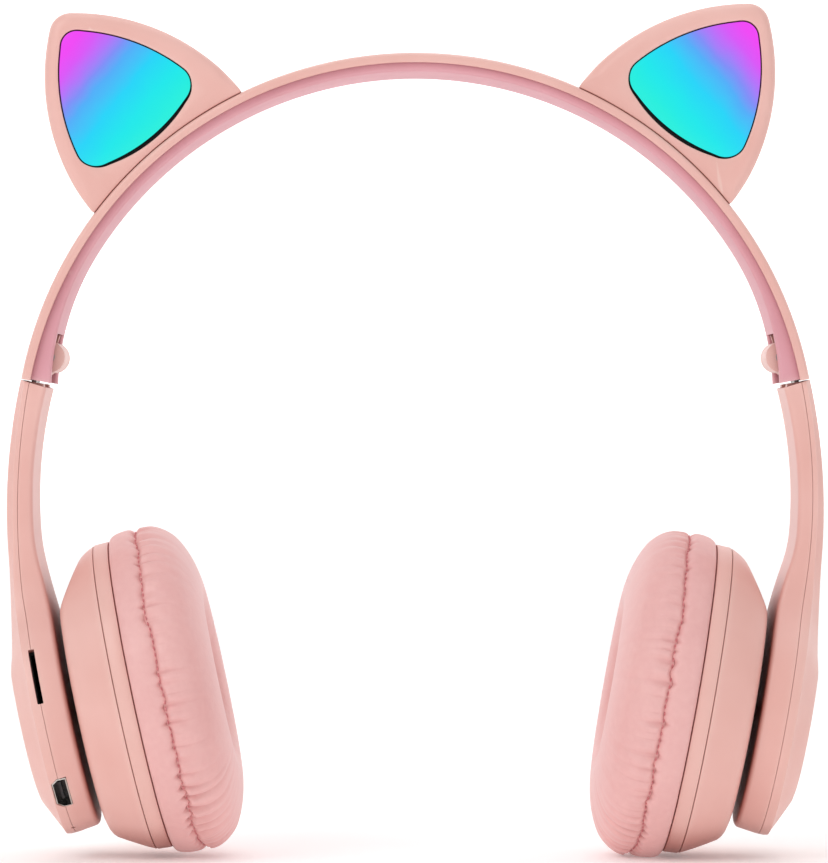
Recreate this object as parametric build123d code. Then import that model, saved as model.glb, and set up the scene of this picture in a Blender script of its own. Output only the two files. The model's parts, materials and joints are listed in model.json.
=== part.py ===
from build123d import *
import math
import os

# A folding wireless headphone with a lit cat-ear housing on each side of its headband.
# Millimetres. +Z is up, the ear lights face -Y and the wearer's right is -X.
# The origin is the middle of the headband's underside, where it rests on the head.

# ------------------------------------------------------------------ driving sizes
LINER_R = 81.4  # underside of the liner, from the band's centre
LINER_TOP_R = 83.2  # where the liner meets the shell's side walls
FLOOR_R = 84.4  # underside of the shell's outer wall
SHELL_EDGE_R = 85.1
SHELL_CROWN_R = 86.0
SHELL_HALF = 14.0  # half of the shell's width along Y
LINER_HALF = 12.5
BAND_END = 79.2  # the band stops this many degrees from its top, on each side
LINER_END = 79.0  # the liner stops a little short of the shell
COLLAR_HALF = 11.0  # half width of the low collar on top of each arm
NOTCH_START = 71.4  # from here the liner is notched for the hinge
NOTCH_HALF = 9.3
CHEEK_START = 58.0  # from here the liner thickens towards its ends
CHEEK_DEPTH = 2.4  # how much thicker it is at its ends

SIDES = {"r": -1, "l": 1}  # the wearer's right and left
CUP_OUT = {"r": 58.9, "l": 58.8}  # cup front centre, out from the middle plane
CUP_UP = {"r": -51.6, "l": -52.4}  # and above the band's centre
CUP_TILT = {"r": 12.0, "l": 10.1}  # the cups lean in at the top by these degrees

EAR_ANGLES = {"r": 39.4, "l": 37.8}  # each ear's middle, in degrees from the band's top
PANEL_SHIFT = 0.65  # the light panel stands this far outwards of the ear's middle
EAR_BASE_R = 86.05
EAR_TIP_R = 120.3
EAR_HALF = 20.6  # half of the ear's width at its base
EAR_FRONT = 13.0  # the ear's front face is this far in front of the middle plane
EAR_BACK = 12.0
EAR_SLOPE = 7.5  # how far its back slopes in towards the tip
EAR_SPLIT = 3.0  # the back cover starts this far behind the middle plane
EAR_WALL = 1.8
EAR_SCREW_ANGLE = 8.0
EAR_SCREW_Y = 7.2

HINGE_OUT = 78.1  # the fold hinge's axis, out from the middle plane
HINGE_UP = 20.7  # and above the band's centre
LUG_R = 3.3
PIN_R = 1.2
KNUCKLE_HALF = 6.0
LUG_IN = 6.3
LUG_OUT = 8.8

STRIP_LEAN = 4.0  # the arm slides out along a line this many degrees off vertical
STRIP_T = 1.0
STRIP_HALF = 5.5
STRIP_TOP = (81.35, 19.2)
STRIP_LENGTH = 40.0
SLIDE_GAP = 0.35  # running clearance around the strip

STEM_HALF = 12.6  # half of the arm's width along Y
DISC_R = 26.2
DISC_INNER = -14.15  # the plate behind the cup, along the cup's axis from the cup's front
DISC_SEAM = -19.6
DISC_EDGE = -21.6
DISC_OUTER = -25.4
DISC_FACE_R = 18.3
WALL = 1.6

CUP_BACK = -12.7
CUP_FLAT_R = 24.0
PIVOT = -10.0  # the ball's centre along the cup's axis
BALL_R = 2.8
RING_IN_R = 3.1
RING_OUT_R = 5.0
SOCKET_R = 5.3
RING_HALF = 2.2

BOARD_TOP = -21.1
BOARD_T = 1.2
BOARD_R = 20.4
CARD_ANGLE = 69.2  # places round the plate's rim, from the top towards the front
USB_ANGLE = 128.8
AUX_ANGLE = -150.0
AUX_AXIAL = -18.5  # the audio socket sits just off the seam
MIC_ANGLE = 160.0
BUTTON_ANGLES = {"back": -50.0, "play": -68.0, "forward": -86.0, "mode": -104.0}
PLATE_SCREW_ANGLES = (20.0, -20.0, 180.0)
PLATE_SCREW_R = 19.0
CUP_SCREW_ANGLES = (75.0, 180.0, -75.0)
CUP_SCREW_R = 26.0


# ------------------------------------------------------------------ shared helpers
def save(name, *shapes):
    """Write one piece, or a group of like solids, as its own file."""
    solids = [solid for shape in shapes for solid in shape.solids()]
    export_step(solids[0] if len(solids) == 1 else Compound(solids), f"parts/{name}.step")


def corners(outline):
    """A closed face from straight runs between points."""
    return make_face(Polyline(*outline, close=True))


def prism(face, low, high, along):
    """Extrude a face from one offset to another along a direction."""
    start = Vector(*along) * low
    return Location(start) * extrude(face, amount=high - low, dir=along)


def turned(outline):
    """Turn a closed outline of (axial, radial) points about local Z."""
    return revolve(Plane.YZ * corners([(r, z) for z, r in outline]), Axis.Z)


def rod(start, along, radius, length):
    """A round bar from a point, along a direction."""
    low = (Align.CENTER, Align.CENTER, Align.MIN)
    return Plane(origin=start, z_dir=along) * Cylinder(radius, length, align=low)


def mid_axis():
    return Axis((0, 0, -LINER_R), (0, 1, 0))


def band_sweep(outline, start, end):
    """Sweep an outline of (y, radius) round the band, between two angles from its top."""
    plane = Plane(origin=(0, 0, -LINER_R), x_dir=(0, 1, 0), z_dir=(1, 0, 0))
    face = (plane * outline).rotate(mid_axis(), start)
    return revolve(face, mid_axis(), end - start)


def side_point(side, out, up):
    """A point on a side's middle section, from its place about the band's centre."""
    return (SIDES[side] * out, 0, up - LINER_R)


def side_face(side, edges):
    """A face in the middle section from edges drawn as (out, up) about the band's centre."""
    return Plane(origin=(0, 0, -LINER_R), x_dir=(SIDES[side], 0, 0), z_dir=(0, -SIDES[side], 0)) * edges


def cup_plane(side):
    """The cup's own frame: X up the cup, Z along its axis towards the ear."""
    lean = math.radians(CUP_TILT[side])
    way = SIDES[side]
    up = (way * math.sin(lean), 0, math.cos(lean))
    inward = (-way * math.cos(lean), 0, math.sin(lean))
    return Plane(origin=side_point(side, CUP_OUT[side], CUP_UP[side]), x_dir=up, z_dir=inward)


def cup_to_side(side, axial, up):
    """A point of the cup's middle section as (out, up) about the band's centre."""
    lean = math.radians(CUP_TILT[side])
    out = CUP_OUT[side] - axial * math.cos(lean) + up * math.sin(lean)
    return (out, CUP_UP[side] + axial * math.sin(lean) + up * math.cos(lean))


def rim_plane(side, angle, radius, axial):
    """A frame on the plate's rim: Z points outward, X along the cup's axis."""
    turn = math.radians(angle)
    front = -SIDES[side]
    out = Vector(math.cos(turn), front * math.sin(turn), 0)
    place = out * radius + Vector(0, 0, axial)
    return cup_plane(side) * Location(Plane(origin=place, x_dir=(0, 0, 1), z_dir=out))


def round_places(angles, radius):
    """Points on a circle, by angle from local X."""
    return [(radius * math.cos(math.radians(a)), radius * math.sin(math.radians(a))) for a in angles]


# ------------------------------------------------------------------ headband
def shell_outline():
    """The shell's section: a crowned outer wall with a low wall along each edge."""
    inner = LINER_HALF + 0.1
    crown = ThreePointArc((-SHELL_HALF, SHELL_EDGE_R), (0, SHELL_CROWN_R), (SHELL_HALF, SHELL_EDGE_R))
    rest = Polyline(
        (SHELL_HALF, SHELL_EDGE_R),
        (SHELL_HALF, LINER_TOP_R),
        (inner, LINER_TOP_R),
        (inner, FLOOR_R),
        (-inner, FLOOR_R),
        (-inner, LINER_TOP_R),
        (-SHELL_HALF, LINER_TOP_R),
        (-SHELL_HALF, SHELL_EDGE_R),
    )
    face = make_face(crown + rest)
    edge = face.vertices().filter_by(lambda v: v.Y > SHELL_EDGE_R - 0.01)
    return fillet(edge, 0.9)


def band_radial(angle, y, low, radius, length):
    """A round bar that stands on the band, pointing away from its centre."""
    turn = math.radians(angle)
    way = Vector(math.sin(turn), 0, math.cos(turn))
    return rod(Vector(0, y, -LINER_R) + way * low, way, radius, length)


def ear_screw_places():
    """Angle along the band and place along Y of each ear screw."""
    return [
        (way * EAR_ANGLES[side] + turn * EAR_SCREW_ANGLE, turn * EAR_SCREW_Y)
        for side, way in SIDES.items()
        for turn in (-1, 1)
    ]


def headband_shell():
    shell = band_sweep(shell_outline(), -BAND_END, BAND_END)
    for angle, y in ear_screw_places():
        shell -= band_radial(angle, y, FLOOR_R - 2, 1.1, 6)
    return shell


def liner_cheek(way):
    """The liner's thickening towards one of its ends, where it stands beside the hinge."""
    places = [(CHEEK_START, 0.0), (70.0, 0.8), (LINER_END, CHEEK_DEPTH)]
    places += [(LINER_END, -0.6), (70.0, -0.6), (CHEEK_START, -0.6)]
    points = []
    for angle, depth in places:
        turn = math.radians(way * angle)
        radius = LINER_R - depth
        points.append((radius * math.sin(turn), 0, radius * math.cos(turn) - LINER_R))
    edges = ThreePointArc(points[0], points[1], points[2]) + Line(points[2], points[3])
    edges += ThreePointArc(points[3], points[4], points[5]) + Line(points[5], points[0])
    return extrude(make_face(edges), amount=LINER_HALF, dir=(0, 1, 0), both=True)


def headband_liner():
    """The soft inner face, with a rib along each edge that fits inside the shell."""
    rib_out = LINER_HALF
    rib_in = LINER_HALF - 1.4
    outline = corners(
        [
            (-rib_out, LINER_R),
            (rib_out, LINER_R),
            (rib_out, FLOOR_R),
            (rib_in, FLOOR_R),
            (rib_in, LINER_TOP_R),
            (-rib_in, LINER_TOP_R),
            (-rib_in, FLOOR_R),
            (-rib_out, FLOOR_R),
        ]
    )
    outline = fillet(outline.vertices().filter_by(lambda v: v.Y < LINER_R + 0.01), 0.7)
    liner = band_sweep(outline, -LINER_END, LINER_END)
    for way in SIDES.values():
        liner += liner_cheek(way)
    notch = corners([(-NOTCH_HALF, 78), (NOTCH_HALF, 78), (NOTCH_HALF, 85), (-NOTCH_HALF, 85)])
    for low, high in ((-BAND_END - 1, -NOTCH_START), (NOTCH_START, BAND_END + 1)):
        liner -= band_sweep(notch, low, high)
    return liner


def spring_strip():
    """The steel strip that gives the band its grip."""
    outline = corners([(-4.5, 83.8), (4.5, 83.8), (4.5, FLOOR_R), (-4.5, FLOOR_R)])
    return band_sweep(outline, -61.5, 61.5)


def led_wire():
    """The lead between the two arms, which also feeds the ear lights."""
    return band_sweep(Location((10.3, 83.9)) * Circle(0.45), -BAND_END + 0.5, BAND_END - 0.5)


def ear_screws():
    screws = []
    for angle, y in ear_screw_places():
        head = band_radial(angle, y, FLOOR_R - 1.05, 1.9, 1.0)
        shank = band_radial(angle, y, FLOOR_R - 0.5, 0.9, 7.5)
        screws.append(head + shank)
    return screws


# ------------------------------------------------------------------ ears
def ear_plane(side):
    """The ear's frame: X along the band, Y away from the band's centre, Z to the front."""
    turn = math.radians(SIDES[side] * EAR_ANGLES[side])
    along = (math.cos(turn), 0, -math.sin(turn))
    return Plane(origin=(0, 0, -LINER_R), x_dir=along, z_dir=(0, -1, 0))


def ear_outline():
    """A curved triangle that stands on the band's arc."""
    foot = math.sqrt(EAR_BASE_R**2 - EAR_HALF**2)
    shoulder = (3.3, EAR_TIP_R - 1.4)
    belly = (15.7, 103.5)
    base = ThreePointArc((-EAR_HALF, foot), (0, EAR_BASE_R), (EAR_HALF, foot))
    right = ThreePointArc((EAR_HALF, foot), belly, shoulder)
    tip = ThreePointArc(shoulder, (0, EAR_TIP_R), (-shoulder[0], shoulder[1]))
    left = ThreePointArc((-shoulder[0], shoulder[1]), (-belly[0], belly[1]), (-EAR_HALF, foot))
    return make_face(base + right + tip + left)


def panel_outline(grow=0.0):
    """The light panel's own curved triangle."""
    tip = 116.1 + grow
    shoulder = (2.8 + grow * 0.7, 114.6 + grow * 0.7)
    belly = (10.9 + grow * 0.9, 104.0 + grow * 0.4)
    corner_top = (14.6 + grow, 93.9)
    corner_mid = (13.6 + grow * 0.8, 91.0 - grow * 0.5)
    corner_low = (10.6, 89.4 - grow)
    low = 87.8 - grow

    def flip(point):
        return (-point[0], point[1])

    edges = ThreePointArc(flip(shoulder), (0, tip), shoulder)
    edges += ThreePointArc(shoulder, belly, corner_top)
    edges += ThreePointArc(corner_top, corner_mid, corner_low)
    edges += ThreePointArc(corner_low, (0, low), flip(corner_low))
    edges += ThreePointArc(flip(corner_low), flip(corner_mid), flip(corner_top))
    edges += ThreePointArc(flip(corner_top), flip(belly), flip(shoulder))
    return make_face(edges)


def panel_place(side):
    return Location((SIDES[side] * PANEL_SHIFT, 0, 0))


def behind_ear(thick):
    """The space behind the ear's sloping back, brought forward by a wall's thickness."""
    low = (-EAR_BACK + thick, 88)
    high = (-EAR_BACK + EAR_SLOPE + thick, 124)
    slope = corners([(-EAR_BACK - 8, 84), low, high, (-EAR_BACK - 8, 124)])
    behind = Plane(origin=(0, 0, 0), x_dir=(0, 0, 1), z_dir=(-1, 0, 0)) * slope
    return extrude(behind, amount=30, both=True)


def ear_body():
    """The closed outer form of an ear, in the ear's frame."""
    block = prism(ear_outline(), -EAR_BACK, EAR_FRONT, (0, 0, 1)) - behind_ear(0)
    front = block.faces().sort_by(Axis.Z)[-1]
    rim = front.edges().filter_by(lambda e: e.center().Y > EAR_BASE_R + 1)
    return fillet(rim, 2.4)


def ear_cavity():
    inside = offset(ear_outline(), amount=-EAR_WALL, kind=Kind.INTERSECTION)
    return prism(inside, -EAR_BACK + EAR_WALL, EAR_FRONT - 2.0, (0, 0, 1)) - behind_ear(2.0)


def ear_bosses(radius, low, length):
    """Bars at the two screws, in the ear's frame, pointing away from the band's centre."""
    bars = []
    for turn in (-1, 1):
        angle = math.radians(turn * EAR_SCREW_ANGLE)
        way = Vector(math.sin(angle), math.cos(angle), 0)
        bars.append(rod(way * low + Vector(0, 0, -turn * EAR_SCREW_Y), way, radius, length))
    return bars


def ear_shell():
    """The ear's walls with its two screw bosses."""
    shell = ear_body() - ear_cavity()
    bosses = ear_bosses(2.3, EAR_BASE_R + 0.9, 6.0)
    shell += [boss & ear_body() for boss in bosses]
    for hole in ear_bosses(0.9, EAR_BASE_R - 1.5, 7.6):
        shell -= hole
    return shell


def ear_rear_half():
    return Location((0, 100, -EAR_SPLIT - 30)) * Box(80, 80, 60)


def ear_housing(side):
    opening = panel_place(side) * prism(panel_outline(0.15), EAR_FRONT - 3, EAR_FRONT + 1, (0, 0, 1))
    keep = ear_shell() - ear_rear_half() - opening
    for boss in ear_bosses(2.35, EAR_BASE_R - 1, 9.0)[1:]:
        keep -= boss & ear_rear_half()
    return ear_plane(side) * keep


def ear_back_cover(side):
    """The rear shell, with two posts that carry the light board."""
    cover = ear_shell() & ear_rear_half()
    for x in (-6.0, 6.0):
        post = rod((x, 96.0, -1.2), (0, 0, -1), 1.8, EAR_BACK - 2.0)
        cover += post & ear_body()
    return ear_plane(side) * cover


def ear_light_panel(side):
    """The translucent window, with a lip that bears on the bezel from behind."""
    window = panel_place(side) * prism(panel_outline(), EAR_FRONT - 2, EAR_FRONT - 0.25, (0, 0, 1))
    lip = panel_place(side) * prism(panel_outline(1.2), EAR_FRONT - 3.2, EAR_FRONT - 2, (0, 0, 1))
    lip &= ear_cavity()
    return ear_plane(side) * (window + lip)


def ear_led_board(side):
    """A small circuit board with six surface-mounted lights."""
    solid = prism(offset(panel_outline(), amount=-3.0), -1.2, 0.0, (0, 0, 1))
    for x, y in ((0, 108.5), (-3.8, 102.0), (3.8, 102.0), (-7.0, 94.5), (0, 94.0), (7.0, 94.5)):
        solid += Location((x, y, 0.8)) * Box(3.5, 2.8, 1.6)
    return ear_plane(side) * solid


# ------------------------------------------------------------------ fold hinges and sliders
def hinge_bracket(side):
    """Two lugs on a plate that is fixed under the shell's end."""
    way = SIDES[side]
    plate = corners([(-LUG_OUT, 83.4), (LUG_OUT, 83.4), (LUG_OUT, FLOOR_R), (-LUG_OUT, FLOOR_R)])
    low, high = sorted((way * 63.0, way * 72.5))
    bracket = band_sweep(plate, low, high)
    centre = Vector(*side_point(side, HINGE_OUT, HINGE_UP))
    web = corners([(81.2, 20.5), (80.6, 25.2), (79.2, 24.6), (78.0, 22.8)])
    tie = corners([(-LUG_OUT, 81.0), (LUG_OUT, 81.0), (LUG_OUT, FLOOR_R), (-LUG_OUT, FLOOR_R)])
    low, high = sorted((way * 71.6, way * 74.6))
    lugs = rod(centre - Vector(0, LUG_OUT, 0), (0, 1, 0), LUG_R, 2 * LUG_OUT)
    lugs += band_sweep(tie, low, high)
    lugs += extrude(side_face(side, web), amount=LUG_OUT, both=True)
    lugs &= Box(400, 400, 400) - Box(400, 2 * LUG_IN, 400)
    ceiling = corners([(-LUG_OUT, 60), (LUG_OUT, 60), (LUG_OUT, FLOOR_R), (-LUG_OUT, FLOOR_R)])
    low, high = sorted((way * 60.0, way * 89.0))
    lugs &= band_sweep(ceiling, low, high)
    bracket += lugs
    return bracket - rod(centre - Vector(0, 20, 0), (0, 1, 0), PIN_R, 40)


def hinge_pin(side):
    start = Vector(*side_point(side, HINGE_OUT, HINGE_UP)) - Vector(0, LUG_OUT, 0)
    return rod(start, (0, 1, 0), PIN_R, 2 * LUG_OUT)


def strip_box(side, low, high, inward, outward, half):
    """A bar along the arm's slide line, between two distances from the strip's top."""
    lean = math.radians(STRIP_LEAN)
    down = Vector(math.sin(lean), -math.cos(lean))
    out = Vector(math.cos(lean), math.sin(lean))
    top = Vector(*STRIP_TOP)
    points = [
        top + down * low - out * inward,
        top + down * low + out * outward,
        top + down * high + out * outward,
        top + down * high - out * inward,
    ]
    face = corners([(p.X, p.Y) for p in points])
    return extrude(side_face(side, face), amount=half, both=True)


def slider_strip(side):
    """The steel tongue that the arm slides along, with click notches in one edge."""
    strip = strip_box(side, 0, STRIP_LENGTH, STRIP_T / 2, STRIP_T / 2, STRIP_HALF)
    lean = math.radians(STRIP_LEAN)
    for step in range(9):
        along = 12.0 + 2.5 * step
        out = STRIP_TOP[0] + along * math.sin(lean)
        up = STRIP_TOP[1] - along * math.cos(lean)
        centre = Vector(*side_point(side, out, up))
        for y in (-STRIP_HALF, STRIP_HALF):
            strip -= Location(centre + Vector(0, y, 0)) * Box(4, 1.0, 1.2)
    for rivet in rivet_bars(side, 0.9):
        strip -= rivet
    return strip


def rivet_bars(side, radius):
    """Two bars across the strip's top, for the rivets and their holes."""
    lean = math.radians(STRIP_LEAN)
    way = SIDES[side]
    bars = []
    for y in (-3.2, 3.2):
        out = STRIP_TOP[0] + 1.6 * math.sin(lean)
        up = STRIP_TOP[1] - 1.6 * math.cos(lean)
        start = Vector(*side_point(side, out, up)) + Vector(0, y, 0)
        across = Vector(way * math.cos(lean), 0, math.sin(lean))
        bars.append(rod(start - across * 1.9, across, radius, 2.6))
    return bars


def slider_rivets(side):
    return rivet_bars(side, 0.9)


def slider_knuckle(side):
    """The middle lug of the fold hinge, moulded round the strip's top."""
    centre = Vector(*side_point(side, HINGE_OUT, HINGE_UP))
    lug = rod(centre - Vector(0, KNUCKLE_HALF, 0), (0, 1, 0), LUG_R, 2 * KNUCKLE_HALF)
    neck = corners([(81.25, 21.2), (82.25, 17.4), (82.3, 16.4), (79.4, 16.3), (76.9, 18.2), (78.3, 20.7)])
    lug += extrude(side_face(side, neck), amount=KNUCKLE_HALF, both=True)
    lug -= rod(centre - Vector(0, 20, 0), (0, 1, 0), PIN_R + 0.06, 40)
    lug -= strip_box(side, 0, STRIP_LENGTH, STRIP_T / 2, STRIP_T / 2, STRIP_HALF)
    for rivet in rivet_bars(side, 0.9):
        lug -= rivet
    return lug


# ------------------------------------------------------------------ arms
def plate_form():
    """The plate behind the cup, as one closed form in the cup's frame."""
    return turned(
        [
            (DISC_INNER, 0),
            (DISC_INNER, 24.2),
            (DISC_INNER - 0.5, 25.0),
            (DISC_INNER - 1.6, 25.6),
            (DISC_SEAM, DISC_R),
            (DISC_EDGE, DISC_R),
            (DISC_EDGE - 0.6, DISC_R - 0.7),
            (DISC_OUTER + 0.3, DISC_FACE_R + 0.9),
            (DISC_OUTER, DISC_FACE_R),
            (DISC_OUTER, 0),
        ]
    )


def arm_width():
    """The arm and plate seen from the side, as a face in the cup's frame."""
    stem = Location((45, 0)) * Rectangle(90, 2 * STEM_HALF)
    face = Circle(DISC_R - 0.05) + stem
    joins = face.vertices().filter_by(lambda v: 5 < v.X < 60)
    return fillet(joins, 16.0)


def arm_envelope():
    """The arm's straight side walls, with the plate's bevel carried up both edges."""
    width = arm_width()
    straight = prism(width, DISC_EDGE, 40, (0, 0, 1))
    slope = math.degrees(math.atan2(DISC_R - DISC_FACE_R, DISC_EDGE - DISC_OUTER))
    bevel = extrude(width, amount=DISC_EDGE - DISC_OUTER, dir=(0, 0, -1), taper=slope)
    return straight + Location((0, 0, DISC_EDGE)) * bevel


def stem_edges(side):
    """The arm's section along its length: two bowed faces from the hinge to the plate."""
    outer_top = (84.1, 15.85)
    outer_low = (86.4, -25.0)
    inner_top = (78.5, 14.1)
    inner_low = (80.8, -20.5)
    face_top = cup_to_side(side, DISC_OUTER, DISC_FACE_R)
    face_mid = cup_to_side(side, DISC_OUTER, 0)
    back_mid = cup_to_side(side, DISC_INNER, 0)
    back_top = cup_to_side(side, DISC_INNER, 20.6)
    flare = cup_to_side(side, DISC_INNER - 0.55, 26.5)
    edges = ThreePointArc(outer_top, (86.95, -6.0), outer_low)
    edges += Polyline(outer_low, face_top, face_mid, back_mid, back_top)
    edges += ThreePointArc(back_top, flare, inner_low)
    edges += ThreePointArc(inner_low, (81.45, -7.0), inner_top)
    edges += Polyline(inner_top, outer_top)
    return edges


def arm_form(side):
    """The arm and its plate as one closed form."""
    stem = extrude(side_face(side, make_face(stem_edges(side))), amount=40, both=True)
    stem &= cup_plane(side) * arm_envelope()
    collar = corners([(79.2, 13.5), (83.3, 14.8), (83.3, 15.65), (79.2, 14.95)])
    collar = extrude(side_face(side, collar), amount=COLLAR_HALF, both=True)
    return stem + collar + cup_plane(side) * plate_form()


def outer_region(side):
    """Everything on the outer side of the parting line between the arm's two covers."""
    seam_top = cup_to_side(side, DISC_SEAM, DISC_R)
    seam_low = cup_to_side(side, DISC_SEAM, -40)
    far_low = cup_to_side(side, DISC_SEAM - 30, -40)
    edges = ThreePointArc((81.6, 18.0), (84.55, -7.0), seam_top)
    edges += Polyline(seam_top, seam_low, far_low, (120, 18), (81.6, 18.0))
    return extrude(side_face(side, make_face(edges)), amount=40, both=True)


def plate_cavity():
    return turned(
        [
            (DISC_INNER - WALL, 0),
            (DISC_INNER - WALL, 23.9),
            (DISC_EDGE, DISC_R - WALL),
            (DISC_OUTER + WALL, DISC_FACE_R - 0.6),
            (DISC_OUTER + WALL, 0),
        ]
    )


def slot_bar(side, radius, width, height, depth):
    """A bar through the plate's rim, centred on the seam, in its own rim frame."""
    return Location((0, 0, radius - depth / 2)) * Box(height, width, depth)


def rim_openings(side):
    """The holes in the ported plate's rim, half in each cover."""
    holes = [rim_plane(side, CARD_ANGLE, 0, DISC_SEAM) * slot_bar(side, DISC_R + 1, 12.3, 1.3, 4)]
    holes.append(rim_plane(side, USB_ANGLE, 0, DISC_SEAM) * extrude(usb_outline(0.25), amount=DISC_R + 1))
    for angle in BUTTON_ANGLES.values():
        holes.append(rim_plane(side, angle, 0, DISC_SEAM) * slot_bar(side, DISC_R + 1, 6.6, 3.2, 4))
    aux = rim_plane(side, AUX_ANGLE, 20, AUX_AXIAL)
    holes.append(aux * Cylinder(2.55, 14, align=(Align.CENTER, Align.CENTER, Align.MIN)))
    mic = rim_plane(side, MIC_ANGLE, 20, DISC_SEAM)
    holes.append(mic * Cylinder(0.5, 10, align=(Align.CENTER, Align.CENTER, Align.MIN)))
    return holes


def arm_outer_cover(side):
    """The outer half of the arm, with the screw bosses."""
    plane = cup_plane(side)
    cover = (arm_form(side) & outer_region(side)) - plane * plate_cavity()
    for x, y in round_places(PLATE_SCREW_ANGLES, PLATE_SCREW_R):
        cover += plane * rod((x, y, DISC_OUTER + 0.8), (0, 0, 1), 2.3, 7.2)
    for x, y in round_places(PLATE_SCREW_ANGLES, PLATE_SCREW_R):
        cover -= plane * rod((x, y, DISC_OUTER + 2.6), (0, 0, 1), 0.9, 12)
    cover -= strip_box(side, -8, STRIP_LENGTH + 1, STRIP_T / 2, STRIP_T / 2 + SLIDE_GAP, STRIP_HALF + 0.4)
    if side == "r":
        for hole in rim_openings(side):
            cover -= hole
    return cover


def arm_inner_cover(side):
    """The inner half of the arm, with the channel for the strip."""
    plane = cup_plane(side)
    cover = arm_form(side) - outer_region(side) - plane * plate_cavity()
    gap = STRIP_T / 2 + SLIDE_GAP
    cover -= strip_box(side, -8, STRIP_LENGTH + 1, gap, gap + 4, STRIP_HALF + 0.4)
    cover -= plane * rod((0, 0, DISC_INNER - 3), (0, 0, 1), 2.0, 6)
    for x, y in round_places(PLATE_SCREW_ANGLES, PLATE_SCREW_R):
        cover -= plane * rod((x, y, DISC_INNER - 3), (0, 0, 1), 1.1, 6)
        cover -= plane * rod((x, y, DISC_INNER - 1.0), (0, 0, 1), 2.2, 3)
    if side == "r":
        for hole in rim_openings(side):
            cover -= hole
    return cover


def plate_screws(side):
    screws = []
    for x, y in round_places(PLATE_SCREW_ANGLES, PLATE_SCREW_R):
        head = rod((x, y, DISC_INNER - 1.0), (0, 0, 1), 1.9, 0.9)
        shank = rod((x, y, DISC_OUTER + 3.0), (0, 0, 1), 0.9, 7.6)
        screws.append(cup_plane(side) * (head + shank))
    return screws


def ball_stud(side):
    """The pin that carries the cup: a flange inside the arm, a neck and a ball."""
    flange = rod((0, 0, DISC_INNER - WALL - 1.6), (0, 0, 1), 5.0, 1.6)
    neck = rod((0, 0, DISC_INNER - WALL - 1.0), (0, 0, 1), 1.7, PIVOT - DISC_INNER + WALL + 1.0)
    return cup_plane(side) * (flange + neck + Location((0, 0, PIVOT)) * Sphere(BALL_R))


def main_board(side):
    board = Location((0, 0, BOARD_TOP - BOARD_T / 2)) * Cylinder(BOARD_R, BOARD_T)
    for x, y in round_places(PLATE_SCREW_ANGLES, PLATE_SCREW_R):
        board -= rod((x, y, BOARD_TOP - 4), (0, 0, 1), 2.5, 8)
    board += Location((-3, 0, BOARD_TOP + 0.6)) * Box(7, 7, 1.2)
    return cup_plane(side) * board


def usb_outline(grow=0.0):
    """A micro-size charging socket's mouth: flat on one long side, cut corners on the other."""
    high = 1.5 + grow
    wide = 3.8 + grow
    return corners(
        [(high, -wide), (high, wide), (-0.3, wide), (-high, wide - 1.1), (-high, 1.1 - wide), (-0.3, -wide)]
    )


def usb_socket(side):
    """The charging socket's metal shell and its tongue."""
    shell = prism(usb_outline(), 20.4, 25.8, (0, 0, 1)) - prism(usb_outline(-0.35), 21.0, 27, (0, 0, 1))
    shell += Location((0.45, 0, 22.9)) * Box(0.6, 5.2, 4.4)
    return rim_plane(side, USB_ANGLE, 0, DISC_SEAM) * shell


def card_socket(side):
    """The memory-card holder, open towards the rim."""
    block = slot_bar(side, 22.9, 14.0, 3.0, 14.0) - slot_bar(side, 24.0, 11.4, 1.0, 13.5)
    return rim_plane(side, CARD_ANGLE, 0, DISC_SEAM) * block


def aux_socket(side):
    """The 3.5 mm audio socket: a round barrel with a blind bore."""
    low = (Align.CENTER, Align.CENTER, Align.MIN)
    barrel = Cylinder(2.5, 15.5, align=low) - Location((0, 0, 1.5)) * Cylinder(1.8, 15, align=low)
    return rim_plane(side, AUX_ANGLE, 10.4, AUX_AXIAL) * barrel


def microphone(side):
    low = (Align.CENTER, Align.CENTER, Align.MIN)
    can = Cylinder(1.9, 1.7, align=low)
    return rim_plane(side, MIC_ANGLE, 21.7, DISC_SEAM) * can


def button_switches(side):
    return [
        rim_plane(side, angle, 0, DISC_SEAM) * slot_bar(side, 22.1, 3.6, 3.0, 2.2)
        for angle in BUTTON_ANGLES.values()
    ]


def button(side, angle):
    """A push key in the rear rim, with a flange that keeps it inside the covers."""
    key = Location((0, 0, 25.3)) * Box(2.6, 6.0, 3.4)
    key = fillet(key.faces().sort_by(Axis.Z)[-1].edges(), 0.5)
    key += slot_bar(side, 23.8, 6.7, 3.4, 1.0)
    return rim_plane(side, angle, 0, DISC_SEAM) * key


def battery(side):
    """The flat lithium cell in the unported plate."""
    cell = Location((0, 0, DISC_OUTER + WALL + 2.1)) * Box(20, 28, 4.2)
    cell = fillet(cell.edges().filter_by(Axis.Y), 1.2)
    return cup_plane(side) * cell


# ------------------------------------------------------------------ cups
def pivot_ring(side):
    """The ball joint's bearing ring: it tilts on the ball, and the cup turns on it."""
    ring = Sphere(RING_OUT_R) & Box(12, 12, 2 * RING_HALF)
    ring -= Sphere(RING_IN_R)
    return cup_plane(side) * Location((0, 0, PIVOT)) * ring


def facet_cut(depth):
    """The wedge that is cut from the housing's upper rear edge, in the cup's frame."""
    rise = Vector(31.6 - 21.2, -6.7 + 12.8).normalized()
    inward = Vector(-rise.Y, rise.X) * depth
    low = Vector(21.2, -12.8) + inward - rise * 6
    high = Vector(31.6, -6.7) + inward + rise * 8
    face = corners([(low.X, low.Y), (high.X, high.Y), (high.X + 6, high.Y - 40), (low.X, low.Y - 40)])
    return extrude(Plane.XZ * face, amount=50, both=True)


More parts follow.
